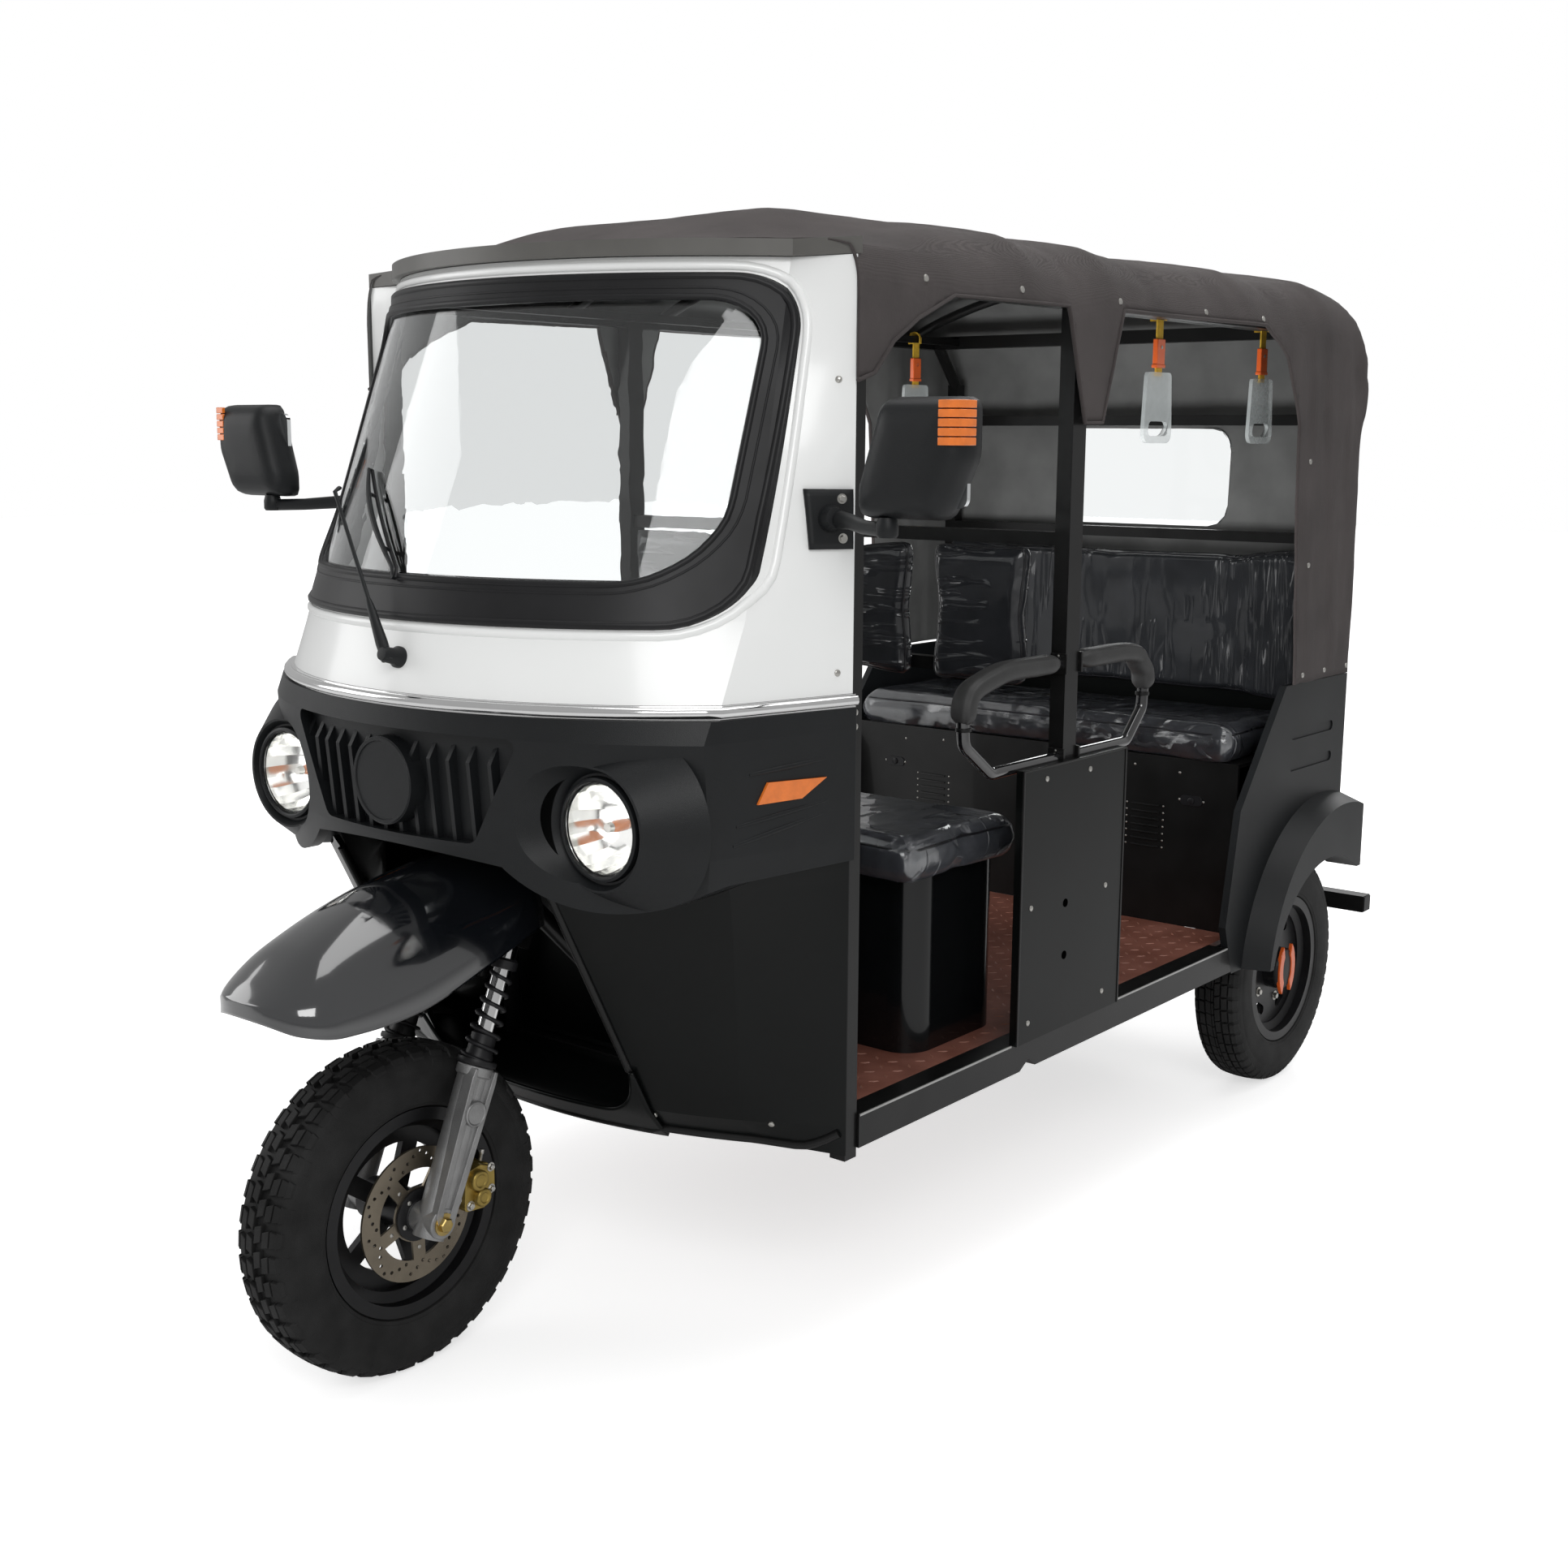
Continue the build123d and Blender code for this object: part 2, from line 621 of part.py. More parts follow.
with BuildPart() as canopy:
    extrude(canopy_section(0), amount=-3000)
    extrude(canopy_side(0, canopy_front), amount=1400, mode=Mode.INTERSECT)
    with BuildPart(mode=Mode.PRIVATE) as cavity:
        extrude(canopy_section(fabric), amount=-3000)
        extrude(canopy_side(fabric, canopy_front - 50), amount=1400, mode=Mode.INTERSECT)
    add(cavity.part, mode=Mode.SUBTRACT)
    trim_front(front_y + nose_plan["head"][1] - 4, roof_height + 50)
    trim_front(front_y + nose_plan["head"][1] + panel_wall, visor_low + visor_height + seat)
    # door openings with the front gusset and the flap on the middle post
    with BuildSketch(Plane.YZ.offset(-700)) as doors:
        with BuildLine():
            Polyline(
                (curtain_front, 700), (curtain_front, curtain_foot), (front_y + 1995, 1500), (front_y + 1925, 1632),
                (front_y + 1816, hem_height - 4), (front_y + 1232, hem_height - 8), (front_y + 1169, 1492),
                (front_y + 1110, 1491), (front_y + 1046, hem_height - 10), (front_y + 701, hem_height - 14),
                (front_y + 604, 1642), (front_y + 540, 1605), (front_y + 492, 1557), (front_y + 446, 1544),
                (front_y + 100, 1544), (front_y + 100, 700), close=True,
            )
        make_face()
    extrude(doors.sketch, amount=1400, mode=Mode.SUBTRACT)
    with BuildSketch(Plane.XZ.offset(-body_end_y + 100)) as rear_hole:
        with Locations((0, (window_low + window_high) / 2)):
            RectangleRounded(2 * window_half, window_high - window_low, 45)
    extrude(rear_hole.sketch, amount=-200, mode=Mode.SUBTRACT)
export(canopy, "canopy")

with BuildPart() as rear_window:
    with BuildSketch(Plane.XZ.offset(-body_end_y - 1)):
        with Locations((0, (window_low + window_high) / 2)):
            RectangleRounded(2 * (window_half - seat), window_high - window_low - 2 * seat, 45 - seat)
    extrude(amount=-2)
export(rear_window, "rear_window")

# ---- Rear body ----------------------------------------------------------------------------
flare_reach = 58
flare_radius, flare_slope = 380, 20
flare_y, flare_height = front_y + 2240, 300
arch_back, arch_top = 500, 543
slot_heights = (760, 830)


def quarter_outline(x):
    """Side view of a quarter panel with its wheel opening."""
    with BuildSketch(Plane.YZ.offset(x)) as outline:
        with BuildLine():
            Polyline(
                (quarter_y, quarter_foot), (quarter_y - 107 * quarter_lean, quarter_foot + 107), (front_y + 1823, 696), (front_y + 2019, 942),
                (body_end_y, 942), (body_end_y, arch_back), (body_end_y - 20, arch_back),
            )
            ThreePointArc(
                (body_end_y - 20, arch_back), (front_y + 2120, arch_top), (front_y + 1900, quarter_foot)
            )
            Line((front_y + 1900, quarter_foot), (quarter_y, quarter_foot))
        make_face()
    return outline.sketch


with BuildPart() as quarter_panels:
    for side in (-1, 1):
        extrude(quarter_outline(side * (body_half - quarter_wall)), amount=side * quarter_wall)
        # wheel arch flare: a band round the opening that stands out from the panel
        with BuildPart(mode=Mode.PRIVATE) as flare:
            rings = []
            for stand, radius in ((-2, flare_radius), (flare_reach, flare_radius - flare_slope)):
                with BuildSketch(Plane.YZ.offset(side * (body_half + stand))) as ring:
                    with Locations((flare_y, flare_height)):
                        Circle(radius)
                rings.append(ring.sketch)
            loft(rings)
            box(-700, 700, quarter_y, body_end_y, quarter_foot, 800, mode=Mode.INTERSECT)
            with BuildSketch(Plane.YZ.offset(side * 500)) as arch:
                with BuildLine():
                    ThreePointArc(
                        (front_y + 1900, quarter_foot), (front_y + 2120, arch_top), (body_end_y - 20, arch_back)
                    )
                    Polyline(
                        (body_end_y - 20, arch_back), (body_end_y + 50, arch_back), (body_end_y + 50, 200),
                        (front_y + 1900, 200), (front_y + 1900, quarter_foot),
                    )
                make_face()
            extrude(arch.sketch, amount=side * 200, mode=Mode.SUBTRACT)
        add(flare.part)
        # pressed slots
        for height in slot_heights:
            with BuildSketch(Plane.YZ.offset(side * (body_half - 3))) as slot:
                with Locations((front_y + 2168, height)):
                    SlotOverall(220, 22)
            extrude(slot.sketch, amount=side * 6, mode=Mode.SUBTRACT)
export(quarter_panels, "quarter_panels")

with BuildPart() as rear_panel:
    half = body_half - quarter_wall - seat
    y0 = body_end_y - rear_panel_wall
    box(-half, half, y0, body_end_y, wheelhouse_height, 940)
    box(-wheelhouse_half, wheelhouse_half, y0, body_end_y, floor_height, wheelhouse_height)
export(rear_panel, "rear_panel")

with BuildPart() as tail_lamps:
    for side in (-1, 1):
        x = side * 455
        box(x - 45, x + 45, body_end_y + seat, body_end_y + 35, 700, 860)
export(tail_lamps, "tail_lamps")

# ---- Seats --------------------------------------------------------------------------------
box_wall = 8
driver_box_half, driver_box_front, driver_box_back = 450, front_y + 776, front_y + 1052
cushion_foot = 725
with BuildPart() as driver_seat_box:
    with BuildSketch(Plane.XY.offset(floor_height + seat)):
        with Locations((0, (driver_box_front + driver_box_back) / 2)):
            RectangleRounded(2 * driver_box_half, driver_box_back - driver_box_front, 55)
    extrude(amount=cushion_foot - floor_height - 2 * seat)
    with BuildSketch(Plane.XY.offset(floor_height + seat)):
        with Locations((0, (driver_box_front + driver_box_back) / 2)):
            RectangleRounded(
                2 * (driver_box_half - box_wall), driver_box_back - driver_box_front - 2 * box_wall, 55 - box_wall
            )
    extrude(amount=cushion_foot - floor_height - 2 * seat - box_wall, mode=Mode.SUBTRACT)
export(driver_seat_box, "driver_seat_box")


def pad(x0, x1, y0, y1, z0, z1, corner):
    """Plain cushion: a block with rounded edges."""
    with BuildPart() as block:
        box(x0, x1, y0, y1, z0, z1)
        fillet(block.edges(), corner)
    return block.part


driver_cushion_back = divider_y - 12 - 45 - seat
with BuildPart() as driver_cushion:
    add(pad(-500, 500, front_y + 700, driver_cushion_back, cushion_foot, 800, 18))
export(driver_cushion, "driver_cushion")

with BuildPart() as driver_backrest:
    for x0, x1 in ((-481, -269), (-229, 229), (269, 481)):
        add(pad(x0, x1, divider_y - 12 - 45 - seat, divider_y - 12 - seat, 1020, 1285, 14))
export(driver_backrest, "driver_backrest")

bench_front = front_y + 1900
bench_foot = 780
bench_back = body_end_y - rear_panel_wall - seat
with BuildPart() as rear_seat_box:
    half = rear_post_x - tube - seat
    box(-half, half, bench_front, bench_front + box_wall, floor_height + seat, bench_foot)
    box(-half, half, bench_front, bench_back, bench_foot - box_wall, bench_foot)
    for side in (-1, 1):
        x0, x1 = sorted((side * wheelhouse_half, side * (wheelhouse_half - box_wall)))
        box(x0, x1, bench_front, bench_back, floor_height + seat, wheelhouse_height + box_wall)
        x0, x1 = sorted((side * wheelhouse_half, side * half))
        box(x0, x1, bench_front, bench_back, wheelhouse_height, wheelhouse_height + box_wall)
export(rear_seat_box, "rear_seat_box")

with BuildPart() as rear_cushion:
    add(pad(-500, 500, bench_front - 35, body_end_y - 120, bench_foot + seat, 857, 18))
export(rear_cushion, "rear_cushion")

with BuildPart() as rear_backrest:
    add(pad(-498, 498, body_end_y - 118, rear_post_y - seat, 862, 1232, 18))
export(rear_backrest, "rear_backrest")

with BuildPart() as battery_pack:
    box(-330, 330, front_y + 1940, front_y + 2260, rail_top + seat, 700)
export(battery_pack, "battery_pack")

# ---- Side trim ----------------------------------------------------------------------------
side_panel_wall = 15
with BuildPart() as side_panels:
    for side in (-1, 1):
        x0, x1 = sorted((side * post_x + side * seat, side * (post_x + side_panel_wall)))
        box(x0, x1, front_y + 940, front_y + 1300, floor_height + seat, 900)
export(side_panels, "side_panels")

loop_radius = 11
with BuildPart() as armrests:
    for side in (-1, 1):
        x = side * (body_half - 16)
        face = divider_depth / 2 + seat
        for way, far, knee, drop in ((-1, 333, 225, 242), (1, 291, 225, 224)):
            y = divider_y
            points = [
                (x, y + way * face, 1072), (x, y + way * knee, 1072), (x, y + way * far, 1038),
                (x, y + way * (far - 8), 960), (x, y + way * drop, 902), (x, y + way * face, 902),
            ]
            with BuildLine() as loop:
                FilletPolyline(*points, radius=26)
            with BuildSketch(Plane(origin=loop.line @ 0, z_dir=loop.line % 0)):
                Circle(loop_radius)
            sweep(path=loop.line)
export(armrests, "armrests")

grip_stations = (1570, 2030)
strap_width, strap_wall = 26, 3
grip_top = hem_height - 102
with BuildPart() as handle_straps:
    for side in (-1, 1):
        for station in grip_stations:
            y = front_y + station
            x = side * grab_rail_x
            box(x - strap_wall / 2, x + strap_wall / 2, y - strap_width / 2, y + strap_width / 2, grip_top + seat,
                grab_rail_height - 8 - seat)
export(handle_straps, "handle_straps")

grip_wall, grip_width, grip_length = 8, 116, 136
with BuildPart() as hand_grips:
    for side in (-1, 1):
        for station in grip_stations:
            with BuildSketch(Plane.YZ.offset(side * grab_rail_x - grip_wall / 2)):
                with Locations((front_y + station, grip_top - grip_length / 2)):
                    Trapezoid(grip_width, grip_length, 86)
                with Locations((front_y + station, grip_top - grip_length + 28)):
                    SlotOverall(grip_width - 32, 28, mode=Mode.SUBTRACT)
            extrude(amount=grip_wall)
export(hand_grips, "hand_grips")

mirror_y, mirror_low, mirror_high = front_y + 335, 1352, 1518
mirror_in, mirror_out, mirror_depth = 655, 835, 60
mirror_rim = 16
mirror_foot_y = front_y + 430
with BuildPart() as mirrors:
    for side in (-1, 1):
        middle = (side * (mirror_in + mirror_out) / 2, (mirror_low + mirror_high) / 2)
        width, height = mirror_out - mirror_in, mirror_high - mirror_low
        with BuildSketch(Plane.XZ.offset(-mirror_y - mirror_depth / 2)) as housing:
            with Locations(middle):
                RectangleRounded(width, height, 24)
        extrude(housing.sketch, amount=mirror_depth, taper=8)
        with BuildSketch(Plane.XZ.offset(-mirror_y - mirror_depth / 2)) as dish:
            with Locations(middle):
                RectangleRounded(width - 2 * mirror_rim, height - 2 * mirror_rim, 14)
        extrude(dish.sketch, amount=12, mode=Mode.SUBTRACT)
        rod((side * 536, mirror_foot_y - 2, 1345), (side * 700, mirror_y, 1335), 9)
        rod((side * 700, mirror_y, 1326), (side * 700, mirror_y, 1375), 12)
    # foot plates that follow the panel
    with BuildPart(mode=Mode.PRIVATE) as plates:
        nose_shell(["sill", "head"], 6, 6 - seat)
        with BuildPart(mode=Mode.PRIVATE) as patches:
            for side in (-1, 1):
                x0, x1 = sorted((side * 450, side * 600))
                box(x0, x1, mirror_foot_y - 20, mirror_foot_y + 20, 1300, 1390)
        add(patches.part, mode=Mode.INTERSECT)
    add(plates.part)
export(mirrors, "mirrors")

with BuildPart() as mirror_glasses:
    for side in (-1, 1):
        with BuildSketch(Plane.XZ.offset(-mirror_y - mirror_depth / 2 + 4)) as glass:
            with Locations((side * (mirror_in + mirror_out) / 2, (mirror_low + mirror_high) / 2)):
                rim = mirror_rim + seat
                RectangleRounded(mirror_out - mirror_in - 2 * rim, mirror_high - mirror_low - 2 * rim, 14)
        extrude(glass.sketch, amount=8 - seat)
export(mirror_glasses, "mirror_glasses")

wiper_x = 20
with BuildPart() as wiper:
    rod((wiper_x, front_y + 28.3, 1134), (wiper_x, front_y - 16, 1144.9), 12)
    rod((wiper_x, front_y - 8, 1143), (-165, front_y + 88, 1386), 5)
    rod((-180, front_y + 92, 1400), (-20, front_y + 45, 1250), 6)
export(wiper, "wiper")

# ---- Rear axle ----------------------------------------------------------------------------
hub_x = rear_wheel_x - 62
stub_radius = 14
with BuildPart() as rear_axle:
    rod((-hub_x + 3, rear_y, axle_height), (hub_x - 3, rear_y, axle_height), axle_tube_radius)
    rod((-rear_wheel_x - 20, rear_y, axle_height), (rear_wheel_x + 20, rear_y, axle_height), stub_radius)
    rod((-90, rear_y, axle_height), (90, rear_y, axle_height), 92)
    rod((90, rear_y - 0.0, axle_height), (210, rear_y, axle_height), 68)
export(rear_axle, "rear_axle")

with BuildPart() as leaf_springs:
    for side in (-1, 1):
        for index, half in enumerate(leaf_halves):
            seat_height = spring_low + leaf_wall * (3 - index)
            rise = spring_rise * (half / leaf_halves[0]) ** 2
            with BuildSketch(Plane.YZ.offset(side * spring_x - leaf_width / 2)) as strip:
                with BuildLine():
                    ThreePointArc(
                        (rear_y - half, seat_height + rise), (rear_y, seat_height), (rear_y + half, seat_height + rise)
                    )
                    Line((rear_y + half, seat_height + rise), (rear_y + half, seat_height + rise + leaf_wall))
                    ThreePointArc(
                        (rear_y + half, seat_height + rise + leaf_wall), (rear_y, seat_height + leaf_wall),
                        (rear_y - half, seat_height + rise + leaf_wall),
                    )
                    Line((rear_y - half, seat_height + rise + leaf_wall), (rear_y - half, seat_height + rise))
                make_face()
            extrude(strip.sketch, amount=leaf_width)
export(leaf_springs, "leaf_springs")

# ---- Wheels -------------------------------------------------------------------------------
flange_half, bead_half = 49, 43.5
rim_wall = 4


def tyre_ring(x):
    """Tyre on the rim's bead seats, round the wheel axis through (x, centre)."""
    outer, inner = tyre_radius, bead_radius + seat
    half = tyre_width / 2
    bead = bead_half - seat
    over = rim_flange_radius + 1.5
    with BuildSketch(Plane.XY) as section:
        with BuildLine():
            Polyline((x - bead, inner), (x + bead, inner), (x + bead, over), (x + flange_half + 2, over + 2))
            ThreePointArc(
                (x + flange_half + 2, over + 2), (x + half, (outer + over) / 2 - 6), (x + half - 8, outer - 14)
            )
            Polyline((x + half - 8, outer - 14), (x + half - 14, outer - 4))
            ThreePointArc((x + half - 14, outer - 4), (x, outer), (x - half + 14, outer - 4))
            Polyline((x - half + 14, outer - 4), (x - half + 8, outer - 14))
            ThreePointArc(
                (x - half + 8, outer - 14), (x - half, (outer + over) / 2 - 6), (x - flange_half - 2, over + 2)
            )
            Polyline((x - flange_half - 2, over + 2), (x - bead, over), (x - bead, inner))
        make_face()
    return section.sketch


def rim_barrel(x):
    """Half section of the pressed rim: flanges, bead seats and a well."""
    well = bead_radius - 16
    with BuildSketch(Plane.XY) as section:
        with BuildLine():
            Polyline(
                (x - flange_half, rim_flange_radius), (x - bead_half, rim_flange_radius), (x - bead_half, bead_radius),
                (x - 26, bead_radius), (x - 18, well), (x + 18, well), (x + 26, bead_radius),
                (x + bead_half, bead_radius), (x + bead_half, rim_flange_radius), (x + flange_half, rim_flange_radius),
                (x + flange_half, bead_radius - rim_wall), (x + 30, bead_radius - rim_wall), (x + 22, well - rim_wall),
                (x - 22, well - rim_wall), (x - 30, bead_radius - rim_wall), (x - flange_half, bead_radius - rim_wall),
                close=True,
            )
        make_face()
    return section.sketch


def wheel_axis(y):
    return Axis((0, y, axle_height), (1, 0, 0))


def wheel_place(y):
    """Moves a section drawn round the X axis to a wheel's height and station."""
    return Location((0, y, axle_height))


front_hub_radius, front_hub_half = 34, 52
axle_radius = 9
with BuildPart() as front_tyre:
    with BuildPart(mode=Mode.PRIVATE) as ring:
        revolve(tyre_ring(0), Axis.X)
    add(ring.part.moved(wheel_place(front_y)))
export(front_tyre, "front_tyre")

spoke_count = 5
with BuildPart() as front_rim:
    with BuildPart(mode=Mode.PRIVATE) as wheel:
        revolve(rim_barrel(0), Axis.X)
        # web ring, spokes and hub
        with BuildSketch(Plane.YZ.offset(-6)) as web:
            Circle(bead_radius - 16 - rim_wall + 1)
            Circle(104, mode=Mode.SUBTRACT)
            with PolarLocations(72, spoke_count):
                Rectangle(84, 30)
        extrude(web.sketch, amount=12)
        Cylinder(front_hub_radius, 2 * front_hub_half, rotation=(0, 90, 0))
        Cylinder(axle_radius + running, 3 * front_hub_half, rotation=(0, 90, 0), mode=Mode.SUBTRACT)
    add(wheel.part.moved(wheel_place(front_y)))
export(front_rim, "front_rim")

disc_plane_x, disc_wall, disc_radius_brake = 54, 4, 108
with BuildPart() as brake_disc:
    with BuildPart(mode=Mode.PRIVATE) as disc:
        with BuildSketch(Plane.YZ.offset(front_hub_half + seat)):
            Circle(disc_radius_brake)
            Circle(axle_radius + 8, mode=Mode.SUBTRACT)
            with PolarLocations(62, 5):
                SlotOverall(34, 20, rotation=90, mode=Mode.SUBTRACT)
        extrude(amount=disc_wall)
    add(disc.part.moved(wheel_place(front_y)))
export(brake_disc, "brake_disc")

for name, side in (("left", 1), ("right", -1)):
    x = side * rear_wheel_x
    with BuildPart() as rear_tyre:
        with BuildPart(mode=Mode.PRIVATE) as ring:
            revolve(tyre_ring(x), Axis.X)
        add(ring.part.moved(wheel_place(rear_y)))
    export(rear_tyre, f"rear_tyre_{name}")
    with BuildPart() as rear_rim:
        with BuildPart(mode=Mode.PRIVATE) as wheel:
            revolve(rim_barrel(x), Axis.X)
            web_x = x + side * 14
            with BuildSketch(Plane.YZ.offset(web_x - 4)) as web:
                Circle(bead_radius - 16 - rim_wall + 1)
                with PolarLocations(104, 6):
                    SlotOverall(46, 22, rotation=90, mode=Mode.SUBTRACT)
            extrude(web.sketch, amount=8)
            with BuildSketch(Plane.YZ.offset(x - side * 60)) as hub:
                Circle(48)
            extrude(hub.sketch, amount=side * 104)
            with BuildSketch(Plane.YZ.offset(x - side * 61)) as bore:
                Circle(stub_radius + running)
            extrude(bore.sketch, amount=side * 90, mode=Mode.SUBTRACT)
        add(wheel.part.moved(wheel_place(rear_y)))
    export(rear_rim, f"rear_rim_{name}")

# ---- Steering -----------------------------------------------------------------------------
leg_x, leg_radius, chrome_radius = 93, 25, 15
leg_foot, leg_top, stay_top, yoke_height = 240, 490, 705, 655


caliper_x = disc_plane_x
caliper_front = front_y + 70


def leg_point(side, height):
    return (side * leg_x, leg_y(height), height)


with BuildPart() as fork_legs:
    for side in (-1, 1):
        rod(leg_point(side, leg_foot), leg_point(side, leg_top), leg_radius)
    with BuildSketch(Plane.YZ.offset(-leg_x - 30)) as pin:
        with Locations((front_y, axle_height)):
            Circle(axle_radius)
    extrude(pin.sketch, amount=2 * leg_x + 60)
    # lug that carries the brake caliper
    box(
        leg_x - 22, leg_x - 6, front_y + 8, caliper_front - seat, axle_height + 4, axle_height + 48
    )
export(fork_legs, "fork_legs")

fork_lean = Vector(0, sin(radians(rake)), cos(radians(rake)))


def along_leg(side, height):
    """Plane across a fork leg at a height, its normal up the leg."""
    return Plane(origin=leg_point(side, height), x_dir=(1, 0, 0), z_dir=fork_lean)


with BuildPart() as fork_springs:
    for side in (-1, 1):
        start, end = leg_top + 3, yoke_height - 24
        length = (end - start) / cos(radians(rake))
        with BuildSketch(along_leg(side, start)) as sleeve:
            Circle(21)
        extrude(sleeve.sketch, amount=length, taper=1)
        for index in range(6):
            with BuildSketch(along_leg(side, start + 4 + index * 19)) as coil:
                Circle(29 - index)
            extrude(coil.sketch, amount=7)
        with BuildSketch(along_leg(side, start - 2)) as bore:
            Circle(chrome_radius + seat)
        extrude(bore.sketch, amount=length + 10, mode=Mode.SUBTRACT)
export(fork_springs, "fork_springs")

with BuildPart() as fork_tubes:
    for side in (-1, 1):
        rod(leg_point(side, leg_top + seat), leg_point(side, stay_top), chrome_radius)
export(fork_tubes, "fork_tubes")

bar_height = 1060
bar_y = axis_y(bar_height)
yoke_wall = 26
yoke_plane = Plane(origin=(0, axis_y(yoke_height), yoke_height), x_dir=(1, 0, 0), z_dir=fork_lean)
with BuildPart() as steering_column:
    rod((0, axis_y(600), 600), (0, bar_y, bar_height), column_radius)
    with BuildSketch(yoke_plane) as yoke:
        with BuildLine():
            ahead, end = fork_offset, leg_x + 18
            Polyline(
                (-end, -ahead - 26), (end, -ahead - 26), (end, -ahead + 26), (34, 30), (-34, 30), (-end, -ahead + 26),
                close=True,
            )
        make_face()
        with Locations((-leg_x, -ahead), (leg_x, -ahead)):
            Circle(chrome_radius + seat, mode=Mode.SUBTRACT)
    extrude(yoke.sketch, amount=yoke_wall)
    for side in (-1, 1):
        with BuildLine() as grip:
            FilletPolyline(
                (0, bar_y, bar_height), (side * 120, bar_y, bar_height), (side * 190, bar_y + 10, bar_height + 30),
                (side * 330, bar_y + 70, bar_height + 20), radius=30,
            )
        with BuildSketch(Plane(origin=grip.line @ 0, z_dir=grip.line % 0)) as section:
            Circle(12)
        sweep(section.sketch, path=grip.line)
export(steering_column, "steering_column")

# Beak-shaped fender: sections across it from the tip back
fender_wall, fender_skirt = 5, 26
# Columns: behind the front axle, half width, edge height, crown height
fender_rows = (
    (-fender_reach, 34, 636, 664),
    (-235, 88, 618, 688),
    (-170, 122, 608, 736),
    (-40, 130, 618, 786),
    (90, 131, 658, 812),
    (212, 131, 702, 830),
)


def fender_section(row, inset, skirt):
    """Arch across the fender with a skirt below its edge."""
    station, half, edge, crown = row
    with BuildSketch(Plane.XZ.offset(-front_y - station)) as section:
        with BuildLine():
            base, side = edge - skirt, edge + fender_skirt
            Polyline((-half + inset, side), (-half + inset, base), (half - inset, base), (half - inset, side))
            ThreePointArc((half - inset, side), (0, crown - inset), (-half + inset, side))
        make_face()
    return section.sketch


with BuildPart() as front_fender:
    rows = list(fender_rows)
    with BuildPart(mode=Mode.PRIVATE) as hull:
        loft([fender_section(row, 0, 0) for row in rows], ruled=True)
    add(hull.part)
    inner_rows = [(rows[0][0] + 12, rows[0][1], rows[0][2], rows[0][3])] + rows[1:-1]
    inner_rows += [(rows[-1][0] + 10, rows[-1][1], rows[-1][2] + 3, rows[-1][3] + 3)]
    loft([fender_section(row, fender_wall, 60) for row in inner_rows], ruled=True, mode=Mode.SUBTRACT)
    # foot that stands on the yoke
    with BuildSketch(yoke_plane.offset(yoke_wall + seat)) as foot:
        with Locations((0, -fork_offset - 14)):
            Rectangle(90, 20)
    add(extrude(foot.sketch, amount=150, mode=Mode.PRIVATE) & hull.part)
export(front_fender, "front_fender")

with BuildPart() as brake_caliper:
    y, z = front_y + 92, axle_height + 26
    box(caliper_x - 16, leg_x + 20, caliper_front, y + 34, z - 34, z + 34)
    box(
        front_hub_half - 5, front_hub_half + disc_wall + 6, y - 80, y + 28, z - 60, z + 60, mode=Mode.SUBTRACT
    )
export(brake_caliper, "brake_caliper")
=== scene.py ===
import bpy
import bmesh
import math
from mathutils import Matrix, Vector, noise
from mathutils.bvhtree import BVHTree


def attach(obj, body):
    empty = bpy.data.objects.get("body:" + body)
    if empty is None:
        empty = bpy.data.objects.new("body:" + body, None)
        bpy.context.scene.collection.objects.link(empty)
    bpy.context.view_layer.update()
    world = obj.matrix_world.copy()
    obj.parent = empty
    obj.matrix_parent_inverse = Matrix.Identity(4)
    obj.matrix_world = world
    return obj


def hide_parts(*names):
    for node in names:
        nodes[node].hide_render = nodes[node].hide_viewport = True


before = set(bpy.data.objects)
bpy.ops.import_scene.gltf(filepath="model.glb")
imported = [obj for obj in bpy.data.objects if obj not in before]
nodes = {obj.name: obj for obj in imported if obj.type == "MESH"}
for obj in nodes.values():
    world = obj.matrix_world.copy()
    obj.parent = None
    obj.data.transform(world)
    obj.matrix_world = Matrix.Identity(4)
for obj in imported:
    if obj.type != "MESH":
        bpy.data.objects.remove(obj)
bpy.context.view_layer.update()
print("frame loaded:", len(nodes), "nodes")

frontY, rearY, axleZ = -1.164, 1.031, 0.265   # wheel axles, metres


cameraSetup = {
    "place": (2.2427, -2.9597, 1.4585),
    "right": (0.77668, 0.62987, 0.00557),
    "up": (-0.11752, 0.13622, 0.98368),
    "forward": (-0.61883, 0.76466, -0.17983),
    "lens": 43.16,
}
cameraData = bpy.data.cameras.new("camera")
cameraData.lens, cameraData.sensor_width = cameraSetup["lens"], 36
cameraData.clip_end = 60
cameraObject = bpy.data.objects.new("camera", cameraData)
bpy.context.collection.objects.link(cameraObject)
turn = Matrix([cameraSetup["right"], cameraSetup["up"], -Vector(cameraSetup["forward"])]).transposed().to_4x4()
cameraObject.matrix_world = Matrix.Translation(cameraSetup["place"]) @ turn
bpy.context.scene.camera = cameraObject
bpy.context.scene.view_settings.view_transform = "Standard"

studio = {
    "sky": 0.44, "key": 120, "fill": 55, "top": 105, "back": 60, "cabin": 9,
    "floorNear": 0.62, "nearReach": 1.3, "farReach": 4.5, "floorHalf": 30, "floorGrey": 0.86,
}


def addLamp(name, place, target, size, power):
    light = bpy.data.lights.new(name, "AREA")
    light.shape, light.size, light.size_y, light.energy = "RECTANGLE", size[0], size[1], power
    lamp = bpy.data.objects.new(name, light)
    lamp.location = place
    lamp.rotation_euler = (Vector(target) - Vector(place)).to_track_quat("-Z", "Y").to_euler()
    bpy.context.collection.objects.link(lamp)


